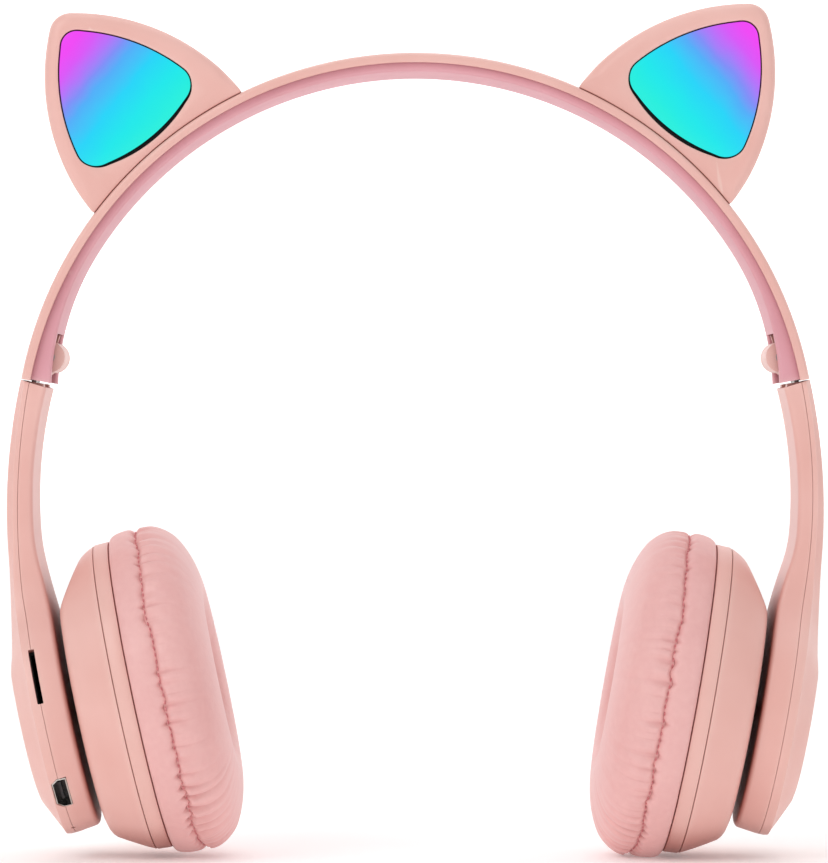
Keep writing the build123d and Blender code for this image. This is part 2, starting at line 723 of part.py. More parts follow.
def pivot_seat():
    """The round seat for the bearing ring, open towards the cup's inside."""
    low = CUP_BACK - 0.5
    mouth = math.sqrt(SOCKET_R**2 - (PIVOT - low) ** 2)
    halfway = math.asin((PIVOT - low) / SOCKET_R) / 2
    mid = (SOCKET_R * math.cos(halfway), PIVOT - SOCKET_R * math.sin(halfway))
    edges = ThreePointArc((mouth, low), mid, (SOCKET_R, PIVOT))
    edges += Polyline((SOCKET_R, PIVOT), (SOCKET_R, PIVOT + 8), (0, PIVOT + 8), (0, low), (mouth, low))
    return revolve(Plane.XZ * make_face(edges), Axis.Z)


def cup_housing(side):
    """The cup's rear shell, with the ball joint's seat and the screw bosses."""
    form = turned(
        [
            (-3.4, 0),
            (-3.4, 33.2),
            (-6.7, 31.6),
            (-11.2, 28.9),
            (-12.2, 27.6),
            (-12.6, 25.9),
            (CUP_BACK, CUP_FLAT_R),
            (CUP_BACK, 0),
        ]
    ) - facet_cut(0)
    hollow = turned([(-3.4, 0), (-3.4, 31.6), (-6.3, 30.1), (-10.6, 27.4), (-11.1, 25.6), (-11.1, 0)])
    hollow -= facet_cut(WALL)
    shell = form - hollow
    shell += rod((0, 0, CUP_BACK + 0.5), (0, 0, 1), 8.4, 4.8)
    for x, y in round_places(CUP_SCREW_ANGLES, CUP_SCREW_R):
        shell += rod((x, y, CUP_BACK + 0.8), (0, 0, 1), 2.1, 10.0)
    shell -= pivot_seat()
    for x, y in round_places(CUP_SCREW_ANGLES, CUP_SCREW_R):
        shell -= rod((x, y, -9.5), (0, 0, 1), 0.9, 12)
    return cup_plane(side) * shell


def pivot_retainer(side):
    """The plate that keeps the bearing ring in its seat."""
    plate = rod((0, 0, CUP_BACK + 5.3), (0, 0, 1), 8.2, 1.2)
    plate -= rod((0, 0, CUP_BACK + 5), (0, 0, 1), 2.6, 3)
    return cup_plane(side) * plate


def cup_front_ring(side):
    """The baffle: the cup's front face, with a seat for the driver and a spigot into the housing."""
    ring = turned(
        [
            (0, 17.5),
            (0, 33.4),
            (-3.4, 33.2),
            (-3.4, 31.5),
            (-1.8, 31.4),
            (-1.8, 30.3),
            (-5.0, 30.2),
            (-5.0, 29.0),
            (-1.8, 29.0),
            (-1.8, 21.8),
            (-3.6, 21.8),
            (-3.6, 20.2),
            (-0.6, 20.2),
            (-0.6, 17.5),
        ]
    )
    for x, y in round_places(CUP_SCREW_ANGLES, CUP_SCREW_R):
        ring -= rod((x, y, -5), (0, 0, 1), 1.1, 8)
        ring -= rod((x, y, -1.0), (0, 0, 1), 2.1, 3)
    return cup_plane(side) * ring


def driver(side):
    """The 40 mm speaker: frame, magnet and domed diaphragm in one piece."""
    unit = turned(
        [
            (-5.6, 0),
            (-5.6, 9.5),
            (-3.6, 9.5),
            (-3.2, 14.0),
            (-2.6, 20.0),
            (-0.7, 20.0),
            (-0.7, 17.6),
            (-1.9, 12.0),
            (-1.1, 8.0),
            (-0.8, 4.0),
            (-0.7, 0),
        ]
    )
    return cup_plane(side) * unit


def speaker_cloth(side):
    return cup_plane(side) * rod((0, 0, 0), (0, 0, 1), 19.6, 0.45)


def cup_screws(side):
    screws = []
    for x, y in round_places(CUP_SCREW_ANGLES, CUP_SCREW_R):
        head = rod((x, y, -1.0), (0, 0, 1), 1.9, 0.9)
        shank = rod((x, y, -8.6), (0, 0, 1), 0.9, 8.0)
        screws.append(cup_plane(side) * (head + shank))
    return screws


def ear_cushion(side):
    """The padded ring that rests on the ear, as a plain closed solid."""
    pad = turned(
        [
            (0.45, 14.0),
            (0.45, 32.4),
            (1.6, 34.0),
            (3.2, 34.9),
            (4.7, 35.2),
            (8.1, 34.6),
            (10.4, 34.3),
            (12.4, 33.5),
            (14.7, 31.3),
            (16.2, 27.6),
            (17.4, 23.6),
            (17.8, 20.6),
            (17.2, 17.0),
            (15.4, 14.4),
            (12.0, 13.0),
            (3.0, 13.0),
        ]
    )
    return cup_plane(side) * pad


# ------------------------------------------------------------------ whole object
PER_SIDE = {
    "ear_housing": ear_housing,
    "ear_back_cover": ear_back_cover,
    "ear_light_panel": ear_light_panel,
    "ear_led_board": ear_led_board,
    "hinge_bracket": hinge_bracket,
    "slider_knuckle": slider_knuckle,
    "slider_strip": slider_strip,
    "arm_outer_cover": arm_outer_cover,
    "arm_inner_cover": arm_inner_cover,
    "ball_stud": ball_stud,
    "pivot_ring": pivot_ring,
    "cup_housing": cup_housing,
    "pivot_retainer": pivot_retainer,
    "cup_front_ring": cup_front_ring,
    "driver": driver,
    "speaker_cloth": speaker_cloth,
    "ear_cushion": ear_cushion,
}
GROUPS_PER_SIDE = {
    "slider_rivets": slider_rivets,
    "plate_screws": plate_screws,
    "cup_screws": cup_screws,
}
PORTED_SIDE = {
    "main_board": main_board,
    "usb_socket": usb_socket,
    "card_socket": card_socket,
    "aux_socket": aux_socket,
    "microphone": microphone,
}

os.makedirs("parts", exist_ok=True)
save("headband_shell", headband_shell())
save("headband_liner", headband_liner())
save("spring_strip", spring_strip())
save("led_wire", led_wire())
save("ear_screws", *ear_screws())
save("hinge_pins", *[hinge_pin(side) for side in SIDES])
for side in SIDES:
    for name, make in PER_SIDE.items():
        save(f"{name}_{side}", make(side))
    for name, make in GROUPS_PER_SIDE.items():
        save(f"{name}_{side}", *make(side))
for name, make in PORTED_SIDE.items():
    save(name, make("r"))
save("button_switches", *button_switches("r"))
for name, angle in BUTTON_ANGLES.items():
    save(f"button_{name}", button("r", angle))
save("battery", battery("l"))
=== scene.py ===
import bisect
import json
import math
import random

import bmesh
import bpy
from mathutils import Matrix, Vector


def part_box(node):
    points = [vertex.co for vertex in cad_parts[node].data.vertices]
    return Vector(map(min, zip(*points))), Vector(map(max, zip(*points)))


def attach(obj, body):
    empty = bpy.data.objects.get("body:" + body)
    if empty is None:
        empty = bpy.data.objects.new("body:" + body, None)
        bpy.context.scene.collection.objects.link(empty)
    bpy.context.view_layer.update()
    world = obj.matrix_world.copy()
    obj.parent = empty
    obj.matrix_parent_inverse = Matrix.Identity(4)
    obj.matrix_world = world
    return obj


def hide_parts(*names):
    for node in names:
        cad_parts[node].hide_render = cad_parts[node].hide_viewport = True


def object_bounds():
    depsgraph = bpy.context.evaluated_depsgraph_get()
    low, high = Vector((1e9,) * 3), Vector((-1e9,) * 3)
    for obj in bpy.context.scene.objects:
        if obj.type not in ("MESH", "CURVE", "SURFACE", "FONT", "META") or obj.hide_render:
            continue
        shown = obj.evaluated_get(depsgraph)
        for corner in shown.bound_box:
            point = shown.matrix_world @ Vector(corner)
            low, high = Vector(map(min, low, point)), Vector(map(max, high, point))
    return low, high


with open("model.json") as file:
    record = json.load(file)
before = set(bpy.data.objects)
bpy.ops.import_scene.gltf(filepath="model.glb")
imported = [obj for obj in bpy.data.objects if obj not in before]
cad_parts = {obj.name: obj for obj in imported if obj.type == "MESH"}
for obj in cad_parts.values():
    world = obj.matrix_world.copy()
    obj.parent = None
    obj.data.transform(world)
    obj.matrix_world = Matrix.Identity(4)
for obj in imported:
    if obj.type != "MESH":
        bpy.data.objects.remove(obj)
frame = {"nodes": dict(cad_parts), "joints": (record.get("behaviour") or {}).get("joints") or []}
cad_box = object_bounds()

# A folding wireless headphone with lit cat ears: peach soft-touch shells, a rose liner and
# puckered leather cushions. Sizes below are millimetres and go through MM into Blender's metres.
MM = 0.001
SIDES = {"r": -1, "l": 1}  # the wearer's right is -X

# ------------------------------------------------------------------ places read from the frame
JOINTS = {joint["name"]: joint for joint in frame["joints"]}
BAND_R = 81.4  # underside of the liner, which is at the frame's origin
BAND_CENTRE = Vector((0, 0, -BAND_R))
PIVOT = -10.0  # the ball joint's centre, along the cup's axis from the cup's front


def cup_frame(side):
    """The cup's front centre, its up and its axis towards the ear, in millimetres."""
    joint = JOINTS[f"swivel_{side}"]
    up = Vector(joint["axis"])
    axis = Vector((-SIDES[side] * up.z, 0, SIDES[side] * up.x))
    return Vector(joint["pos_m"]) / MM - axis * PIVOT, up, axis


CUPS = {side: cup_frame(side) for side in SIDES}
FRONT = Vector((0, -1, 0))


def in_cup(side, up, front, axial):
    """A point of the cup's own frame as a point of the row frame, in metres."""
    origin, upward, axis = CUPS[side]
    return (origin + upward * up + FRONT * front + axis * axial) * MM


def section_to_cup(side, out, height):
    """A point of the middle section, about the band's centre, as (axial, up) of the cup."""
    origin, upward, axis = CUPS[side]
    point = Vector((SIDES[side] * out, 0, height)) + BAND_CENTRE - origin
    return point.dot(axis), point.dot(upward)


# ------------------------------------------------------------------ mesh helpers
WELD = 1e-7  # points nearer than this many metres become one


def meshed(name, points, faces, weld=True, change=None):
    """An object from points and faces, welded and changed if asked, with its faces turned outwards."""
    mesh = bpy.data.meshes.new(name)
    mesh.from_pydata([tuple(p) for p in points], [], faces)
    build = bmesh.new()
    build.from_mesh(mesh)
    if weld:
        bmesh.ops.remove_doubles(build, verts=build.verts, dist=WELD)
    if change:
        change(build)
    bmesh.ops.recalc_face_normals(build, faces=build.faces)
    build.to_mesh(mesh)
    build.free()
    made = bpy.data.objects.new(name, mesh)
    bpy.context.scene.collection.objects.link(made)
    return made


def piece(name, points, faces, body, material, stands_for=(), smooth_angle=40):
    """Make a mesh piece that rides on a body and takes a material."""
    made = meshed(name, points, faces)
    made.data.materials.append(material)
    shade(made, smooth_angle)
    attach(made, body)
    if stands_for:
        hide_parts(*stands_for)
    return made


def shade(made, angle):
    """Shade smooth, but keep edges sharper than an angle crisp."""
    mesh = made.data
    mesh.shade_smooth()
    mesh.set_sharp_from_angle(angle=math.radians(angle))


def ring_faces(rings, around, closed_rings=True, first=0):
    """Quads between rings of points, each ring closed on itself."""
    faces = []
    for k in range(rings if closed_rings else rings - 1):
        here = first + k * around
        there = first + ((k + 1) % rings) * around
        for i in range(around):
            j = (i + 1) % around
            faces.append((here + i, here + j, there + j, there + i))
    return faces


def capped(rings, around, first=0):
    """Quads between rings of points, with a face that closes each end."""
    faces = ring_faces(rings, around, closed_rings=False, first=first)
    faces.append(tuple(first + i for i in range(around))[::-1])
    faces.append(tuple(first + (rings - 1) * around + i for i in range(around)))
    return faces


def corner(before, at, after, radius, steps=5, least=0.25):
    """A rounded corner of an outline, or the point itself where it turns less than an angle."""
    to_before, to_after = before - at, after - at
    turn = math.pi - to_before.angle(to_after)
    if turn < least:
        return [at]
    reach = min(radius * math.tan(turn / 2), 0.45 * to_before.length, 0.45 * to_after.length)
    start = at + to_before.normalized() * reach
    stop = at + to_after.normalized() * reach
    shares = [k / steps for k in range(steps + 1)]
    return [start.lerp(at, t).lerp(at.lerp(stop, t), t) for t in shares]


def rounded(outline, radius, steps=5):
    """Round every corner of a closed outline of (x, y), as far as its runs allow."""
    result = []
    count = len(outline)
    for i in range(count):
        before, at, after = (Vector(outline[(i + k) % count]) for k in (-1, 0, 1))
        result += corner(before, at, after, radius, steps, least=0.02)
    return result


def divided(outline, longest):
    """Add points to a closed outline so that no run is longer than a length."""
    result = []
    for a, b in zip(outline, outline[1:] + outline[:1]):
        steps = max(1, math.ceil((b - a).length / longest))
        result += [a.lerp(b, k / steps) for k in range(steps)]
    return result


def through(a, b, c, steps, before=0.0, after=0.0):
    """Points on the circle through three points, run on past either end by a share of its turn."""
    a, b, c = Vector(a), Vector(b), Vector(c)
    double = 2 * (a.x * (b.y - c.y) + b.x * (c.y - a.y) + c.x * (a.y - b.y))
    squares = [p.length_squared for p in (a, b, c)]
    x = (squares[0] * (b.y - c.y) + squares[1] * (c.y - a.y) + squares[2] * (a.y - b.y)) / double
    y = (squares[0] * (c.x - b.x) + squares[1] * (a.x - c.x) + squares[2] * (b.x - a.x)) / double
    middle = Vector((x, y))
    radius = (a - middle).length
    start = math.atan2(a.y - y, a.x - x)
    via = (math.atan2(b.y - y, b.x - x) - start) % (2 * math.pi)
    turn = (math.atan2(c.y - y, c.x - x) - start) % (2 * math.pi)
    if via > turn:
        turn -= 2 * math.pi
    shares = [-before + (1 + before + after) * k / steps for k in range(steps + 1)]
    angles = [start + turn * share for share in shares]
    return [middle + radius * Vector((math.cos(t), math.sin(t))) for t in angles]


def smoothstep(low, high, value):
    """0 below low, 1 above high, and a smooth rise between."""
    share = min(1.0, max(0.0, (value - low) / (high - low)))
    return share * share * (3 - 2 * share)


def ring_points(side, axial, radius, around, shape=None):
    """One ring of a turned form, with a shape function applied."""
    points = []
    for i in range(around):
        angle = 2 * math.pi * i / around
        up, front, along = radius * math.cos(angle), radius * math.sin(angle), axial
        if shape:
            up, front, along = shape(up, front, along)
        points.append(in_cup(side, up, front, along))
    return points


def lathe(side, profile, around):
    """Points and faces of a closed profile of (axial, radius) turned about the cup's axis."""
    points = []
    for axial, radius in profile:
        points += ring_points(side, axial, radius, around)
    return points, ring_faces(len(profile), around)


# ------------------------------------------------------------------ material helpers
def linear(colour):
    """An sRGB hex colour as linear RGBA."""
    parts = [int(colour[i : i + 2], 16) / 255 for i in (1, 3, 5)]
    return tuple(c / 12.92 if c <= 0.04045 else ((c + 0.055) / 1.055) ** 2.4 for c in parts) + (1.0,)


def add(tree, kind, inputs=None, **settings):
    """Add a node with its settings, and with values or linked sockets on its inputs."""
    made = tree.nodes.new(kind)
    for name, value in settings.items():
        setattr(made, name, value)
    for name, value in (inputs or {}).items():
        if isinstance(value, bpy.types.NodeSocket):
            tree.links.new(value, made.inputs[name])
        else:
            made.inputs[name].default_value = value
    return made


def begin(name):
    """A new material, its emptied tree and the place on the object to lay its patterns by."""
    material = bpy.data.materials.new(name)
    material.use_nodes = True
    material.node_tree.nodes.clear()
    tree = material.node_tree
    return material, tree, add(tree, "ShaderNodeTexCoord").outputs["Object"]


def end(tree, shader):
    add(tree, "ShaderNodeOutputMaterial", {"Surface": shader.outputs[0]})


def ramp(tree, factor, stops):
    """A colour ramp through (place, hex colour) stops."""
    made = add(tree, "ShaderNodeValToRGB", {"Fac": factor})
    band = made.color_ramp
    while len(band.elements) < len(stops):
        band.elements.new(0.5)
    for element, (place, colour) in zip(band.elements, stops):
        element.position = place
        element.color = linear(colour)
    return made.outputs["Color"]


def per_metre(size_mm):
    """A texture scale whose features are about this many millimetres across."""
    return 1 / (size_mm * MM)


# ------------------------------------------------------------------ materials
def moulded_abs(name, light, dark, shade_colour, roughness, coat=0.12):
    """Injection-moulded ABS under a soft-touch lacquer: an even pastel with a broad, soft sheen.

    The lacquer's orange peel is about 0.8 mm across, drawn a little coarser so that it shows.
    Narrow gaps are painted towards a deep red by an occlusion mask, and sharp edges are painted paler:
    painted shade and painted highlight.
    """
    material, tree, place = begin(name)
    cloud = add(tree, "ShaderNodeTexNoise", {"Vector": place, "Scale": per_metre(22), "Detail": 3.0})
    grain = add(tree, "ShaderNodeTexNoise", {"Vector": place, "Scale": per_metre(0.9), "Detail": 2.0})
    # Sharp convex edges are painted paler, towards #f7dcd2: a painted highlight along the edges.
    edges = add(tree, "ShaderNodeNewGeometry").outputs["Pointiness"]
    edge_highlight = add(
        tree,
        "ShaderNodeMapRange",
        {"Value": edges, "From Min": 0.5, "From Max": 0.62, "To Max": 0.35},
    )
    colour = ramp(tree, cloud.outputs["Fac"], [(0.3, dark), (0.7, light)])
    highlighted = add(
        tree,
        "ShaderNodeMix",
        {"Factor": edge_highlight.outputs["Result"], "A": colour, "B": linear("#f7dcd2")},
        data_type="RGBA",
    )
    # Where other surfaces stand near, the colour is painted towards shade_colour: painted shade in gaps and
    # crevices.
    near = add(tree, "ShaderNodeAmbientOcclusion", {"Distance": 9 * MM}, samples=6)
    painted_shade = add(
        tree,
        "ShaderNodeMapRange",
        {"Value": near.outputs["AO"], "From Max": 0.75, "To Min": 0.8, "To Max": 0.0},
    )
    crevice_shaded = add(
        tree,
        "ShaderNodeMix",
        {"Factor": painted_shade.outputs["Result"], "A": highlighted.outputs["Result"], "B": linear(shade_colour)},
        data_type="RGBA",
    )
    rough = add(
        tree,
        "ShaderNodeMapRange",
        {"Value": grain.outputs["Fac"], "To Min": roughness - 0.05, "To Max": roughness + 0.06},
    )
    bump = add(
        tree,
        "ShaderNodeBump",
        {"Height": grain.outputs["Fac"], "Strength": 0.10, "Distance": 0.05 * MM},
    )
    shader = add(
        tree,
        "ShaderNodeBsdfPrincipled",
        {
            "Base Color": crevice_shaded.outputs["Result"],
            "Roughness": rough.outputs["Result"],
            "Normal": bump.outputs["Normal"],
            "IOR": 1.5,
            "Coat Weight": coat,
            "Coat Roughness": 0.32,
        },
    )
    end(tree, shader)
    return material


def protein_leather():
    """Polyurethane-coated protein leather over foam: fine pebble grain and a soft waxy sheen.

    Its pebbles are about 0.45 mm across, drawn at 0.6 mm so that they show.
    """
    material, tree, place = begin("protein_leather")
    pebble = add(
        tree,
        "ShaderNodeTexVoronoi",
        {"Vector": place, "Scale": per_metre(0.6)},
        feature="SMOOTH_F1",
    )
    crease = add(tree, "ShaderNodeTexNoise", {"Vector": place, "Scale": per_metre(1.6), "Detail": 5.0})
    cloud = add(tree, "ShaderNodeTexNoise", {"Vector": place, "Scale": per_metre(18), "Detail": 3.0})
    folds = add(tree, "ShaderNodeNewGeometry").outputs["Pointiness"]
    speckle = add(
        tree,
        "ShaderNodeMath",
        {0: crease.outputs["Fac"], 1: cloud.outputs["Fac"]},
        operation="ADD",
    )
    tone = add(tree, "ShaderNodeMath", {0: speckle.outputs[0], 1: 0.5}, operation="MULTIPLY")
    base = ramp(tree, tone.outputs[0], [(0.34, "#e9b1ae"), (0.66, "#eebab6")])
    # Concave folds and creases are painted darker, towards #c46a6c: painted shade.
    painted_shade = add(
        tree,
        "ShaderNodeMapRange",
        {"Value": folds, "From Min": 0.40, "From Max": 0.5, "To Min": 0.55, "To Max": 0.0},
    )
    colour = add(
        tree,
        "ShaderNodeMix",
        {"Factor": painted_shade.outputs["Result"], "A": base, "B": linear("#c46a6c")},
        data_type="RGBA",
    )
    rough = add(
        tree,
        "ShaderNodeMapRange",
        {"Value": crease.outputs["Fac"], "To Min": 0.40, "To Max": 0.54},
    )
    fine = add(
        tree,
        "ShaderNodeBump",
        {"Height": pebble.outputs["Distance"], "Strength": 0.35, "Distance": 0.10 * MM},
    )
    both = add(
        tree,
        "ShaderNodeBump",
        {
            "Height": crease.outputs["Fac"],
            "Strength": 0.3,
            "Distance": 0.10 * MM,
            "Normal": fine.outputs["Normal"],
        },
    )
    shader = add(
        tree,
        "ShaderNodeBsdfPrincipled",
        {
            "Base Color": colour.outputs["Result"],
            "Roughness": rough.outputs["Result"],
            "Normal": both.outputs["Normal"],
            "IOR": 1.46,
            "Sheen Weight": 0.15,
            "Sheen Roughness": 0.4,
            "Coat Weight": 0.08,
            "Coat Roughness": 0.35,
        },
    )
    end(tree, shader)
    return material


def sewing_thread():
    """Bonded polyester thread: twisted strands that catch a thin line of light."""
    material, tree, place = begin("sewing_thread")
    twist = add(tree, "ShaderNodeTexNoise", {"Vector": place, "Scale": per_metre(0.3), "Detail": 1.0})
    colour = ramp(tree, twist.outputs["Fac"], [(0.35, "#c9686d"), (0.65, "#e08d90")])
    shader = add(
        tree,
        "ShaderNodeBsdfPrincipled",
        {"Base Color": colour, "Roughness": 0.55, "Sheen Weight": 0.3},
    )
    end(tree, shader)
    return material


def lit_acrylic(side):
    """Opal acrylic lit from behind: magenta at the ear's tip, through violet and blue, to cyan.

    The lights behind it are soft spots, so the colours run into each other without an edge.
    """
    material, tree, place = begin(f"lit_acrylic_{side}")
    way = SIDES[side]
    turn = math.radians(50)
    across = Vector((way * math.sin(turn), 0, math.cos(turn)))
    low, high = (Vector(corner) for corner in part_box(f"ear_light_panel_{side}"))
    start = ((low + high) / 2).dot(across)
    blur = add(tree, "ShaderNodeTexNoise", {"Vector": place, "Scale": per_metre(9), "Detail": 2.0})
    dot = add(tree, "ShaderNodeVectorMath", {0: place, 1: across}, operation="DOT_PRODUCT")
    share = add(
        tree,
        "ShaderNodeMapRange",
        {"Value": dot.outputs["Value"], "From Min": start - 10 * MM, "From Max": start + 19 * MM},
    )
    wander = add(
        tree,
        "ShaderNodeMath",
        {0: blur.outputs["Fac"], 1: 0.10, 2: -0.05},
        operation="MULTIPLY_ADD",
    )
    mixed = add(
        tree,
        "ShaderNodeMath",
        {0: share.outputs["Result"], 1: wander.outputs[0]},
        operation="ADD",
    )
    stops = [
        (0.04, "#13f0de"),
        (0.20, "#03e9ec"),
        (0.38, "#15d5fa"),
        (0.54, "#4eaefa"),
        (0.62, "#7e8ef9"),
        (0.71, "#b670fb"),
        (0.80, "#db53f9"),
        (0.90, "#f242f7"),
    ]
    colour = ramp(tree, mixed.outputs[0], stops)
    depth = add(tree, "ShaderNodeSeparateXYZ", {"Vector": place}).outputs["Y"]
    lit = add(
        tree,
        "ShaderNodeMapRange",
        {"Value": depth, "From Min": -12.74 * MM, "From Max": -12.6 * MM, "To Min": 0.97, "To Max": 0.0},
    )
    shader = add(
        tree,
        "ShaderNodeBsdfPrincipled",
        {
            "Base Color": linear("#101216"),
            "Emission Color": colour,
            "Emission Strength": lit.outputs["Result"],
            "Roughness": 0.3,
            "Specular IOR Level": 0.25,
            "IOR": 1.49,
        },
    )
    end(tree, shader)
    return material


def rolled_steel(name, colour, roughness, line_mm):
    """Cold-rolled strip or turned steel: fine lines that stretch its highlights."""
    material, tree, place = begin(name)
    spread = add(tree, "ShaderNodeMapping", {"Vector": place, "Scale": (1.0, 1.0, 0.06)})
    lines = add(
        tree,
        "ShaderNodeTexNoise",
        {"Vector": spread.outputs[0], "Scale": per_metre(line_mm), "Detail": 3.0},
    )
    rough = add(
        tree,
        "ShaderNodeMapRange",
        {"Value": lines.outputs["Fac"], "To Min": roughness - 0.06, "To Max": roughness + 0.1},
    )
    bump = add(
        tree,
        "ShaderNodeBump",
        {"Height": lines.outputs["Fac"], "Strength": 0.15, "Distance": 0.02 * MM},
    )
    shader = add(
        tree,
        "ShaderNodeBsdfPrincipled",
        {
            "Base Color": linear(colour),
            "Metallic": 1.0,
            "Roughness": rough.outputs["Result"],
            "Normal": bump.outputs["Normal"],
        },
    )
    end(tree, shader)
    return material


def dark_nylon():
    """Glass-filled nylon: near black, with a faint mottle from the fibres."""
    material, tree, place = begin("dark_nylon")
    fibre = add(tree, "ShaderNodeTexNoise", {"Vector": place, "Scale": per_metre(0.5), "Detail": 3.0})
    colour = ramp(tree, fibre.outputs["Fac"], [(0.3, "#1a1a1c"), (0.7, "#2a2a2c")])
    shader = add(tree, "ShaderNodeBsdfPrincipled", {"Base Color": colour, "Roughness": 0.5})
    end(tree, shader)
    return material


def solder_mask():
    """Glass-epoxy board under green solder mask: a smooth skin with copper paths below it."""
    material, tree, place = begin("solder_mask")
    paths = add(tree, "ShaderNodeTexBrick", {"Vector": place, "Scale": per_metre(6)})
    paths.inputs["Color1"].default_value = linear("#1c5a36")
    paths.inputs["Color2"].default_value = linear("#17502f")
    paths.inputs["Mortar"].default_value = linear("#2c7a4a")
    shader = add(
        tree,
        "ShaderNodeBsdfPrincipled",
        {"Base Color": paths.outputs["Color"], "Roughness": 0.35, "Coat Weight": 0.4},
    )
    end(tree, shader)
    return material


def speaker_mesh():
    """Black woven acoustic cloth: over-and-under threads 0.5 mm apart, with dark gaps."""
    material, tree, place = begin("speaker_mesh")
    warp = add(
        tree,
        "ShaderNodeTexWave",
        {"Vector": place, "Scale": per_metre(0.5) / 6.3},
        bands_direction="Y",
    )
    weft = add(
        tree,
        "ShaderNodeTexWave",
        {"Vector": place, "Scale": per_metre(0.5) / 6.3},
        bands_direction="Z",
    )
    weave = add(
        tree,
        "ShaderNodeMath",
        {0: warp.outputs["Fac"], 1: weft.outputs["Fac"]},
        operation="MULTIPLY",
    )
    colour = ramp(tree, weave.outputs[0], [(0.0, "#0b0a0c"), (1.0, "#3a363a")])
    bump = add(
        tree,
        "ShaderNodeBump",
        {"Height": weave.outputs[0], "Strength": 0.5, "Distance": 0.1 * MM},
    )
    shader = add(
        tree,
        "ShaderNodeBsdfPrincipled",
        {"Base Color": colour, "Roughness": 0.85, "Sheen Weight": 0.3, "Normal": bump.outputs["Normal"]},
    )
    end(tree, shader)
    return material


def heat_shrink():
    """Plain heat-shrink film round the lithium cell: smooth, grey and slightly glossy."""
    material, tree, place = begin("heat_shrink")
    pull = add(tree, "ShaderNodeTexNoise", {"Vector": place, "Scale": per_metre(5), "Detail": 2.0})
    colour = ramp(tree, pull.outputs["Fac"], [(0.3, "#8f969c"), (0.7, "#a5abb0")])
    shader = add(tree, "ShaderNodeBsdfPrincipled", {"Base Color": colour, "Roughness": 0.3})
    end(tree, shader)
    return material


def wire_sleeve():
    """Soft PVC insulation: matt red, faintly mottled."""
    material, tree, place = begin("wire_sleeve")
    mottle = add(tree, "ShaderNodeTexNoise", {"Vector": place, "Scale": per_metre(3), "Detail": 2.0})
    colour = ramp(tree, mottle.outputs["Fac"], [(0.3, "#a01d1d"), (0.7, "#b82a26")])
    shader = add(tree, "ShaderNodeBsdfPrincipled", {"Base Color": colour, "Roughness": 0.5})
    end(tree, shader)
    return material


SHELL = moulded_abs("soft_touch_abs_peach", "#edbab1", "#e7afa5", "#a34c3e", 0.42)
LINER = moulded_abs("soft_touch_abs_rose", "#e0a0ab", "#d8949f", "#a8505e", 0.5, coat=0.05)
LEATHER = protein_leather()
THREAD = sewing_thread()
STEEL = rolled_steel("rolled_steel", "#b9b6b2", 0.32, 0.6)
NICKEL = rolled_steel("nickel_plate", "#c9c6c0", 0.22, 0.4)
NYLON = dark_nylon()
BOARD = solder_mask()
CLOTH = speaker_mesh()
FILM = heat_shrink()
WIRE = wire_sleeve()
LIT = {side: lit_acrylic(side) for side in SIDES}

# ------------------------------------------------------------------ headband
SHELL_HALF = 14.0
LINER_HALF = 12.5
BAND_END = 79.2
NOTCH_START = 71.4
NOTCH_HALF = 9.3
LINER_END = 79.0


def band_point(angle, y, radius):
    """A point on the band, by degrees from its top towards +X."""
    turn = math.radians(angle)
    return (BAND_CENTRE + Vector((radius * math.sin(turn), y, radius * math.cos(turn)))) * MM


def no_cheek(angle):
    return 0.0


def cheek(angle):
    """How much thicker the liner is towards its ends, where it stands beside the hinge."""
    return 2.4 * max(0.0, (abs(angle) - 58.0) / 21.0) ** 2


def band_sweep(section, low, high, thicker=no_cheek, step=0.6):
    """Points and faces of a closed section of (y, radius) swept along the band, with ends."""
    count = max(2, math.ceil((high - low) / step))
    points = []
    for k in range(count + 1):
        angle = low + (high - low) * k / count
        points += [band_point(angle, y, r - thicker(angle) if r < 82.6 else r) for y, r in section]
    around = len(section)
    return points, capped(count + 1, around)


def joined(parts):
    """Several (points, faces) as one."""
    points, faces = [], []
    for more_points, more_faces in parts:
        shift = len(points)
        points += more_points
        faces += [tuple(i + shift for i in face) for face in more_faces]
    return points, faces


def headband_shell():
    """The outer shell: a crowned strip whose long edges are rounded over."""
    crown = [(y, 86.0 - 0.9 * (y / SHELL_HALF) ** 2) for y in range(-14, 15, 2)]
    inner = LINER_HALF + 0.1
    outline = [(-SHELL_HALF, 83.3)] + crown
    outline += [(SHELL_HALF, 83.3), (inner, 83.3), (inner, 84.4), (-inner, 84.4), (-inner, 83.3)]
    corners_at = {(-SHELL_HALF, 85.1): 1.1, (SHELL_HALF, 85.1): 1.1}
    section = [Vector(p) for p in outline]
    soft = []
    for i, p in enumerate(section):
        radius = next((r for c, r in corners_at.items() if (Vector(c) - p).length < 0.02), 0.25)
        before, after = section[i - 1], section[(i + 1) % len(section)]
        soft += corner(before, p, after, radius)
    points, faces = band_sweep(soft, -BAND_END, BAND_END)
    piece("band_shell", points, faces, "headband", SHELL, ["headband_shell"])


def liner_section(low, high, inner_r=81.4):
    """The liner's section between two places across the band, with a rib at the band's edge."""
    outline = [(low, inner_r), (high, inner_r), (high, 82.97)]
    if high > 12:
        outline += [(high, 84.2), (high - 1.4, 84.2), (high - 1.4, 82.97)]
    if low < -12:
        outline += [(low + 1.4, 82.97), (low + 1.4, 84.2), (low, 84.2)]
    else:
        outline.append((low, 82.97))
    section = [Vector(p) for p in outline]
    soft = []
    for i, p in enumerate(section):
        radius = 0.8 if p.y < inner_r + 0.01 else 0.2
        soft += corner(section[i - 1], p, section[(i + 1) % len(section)], radius)
    return soft


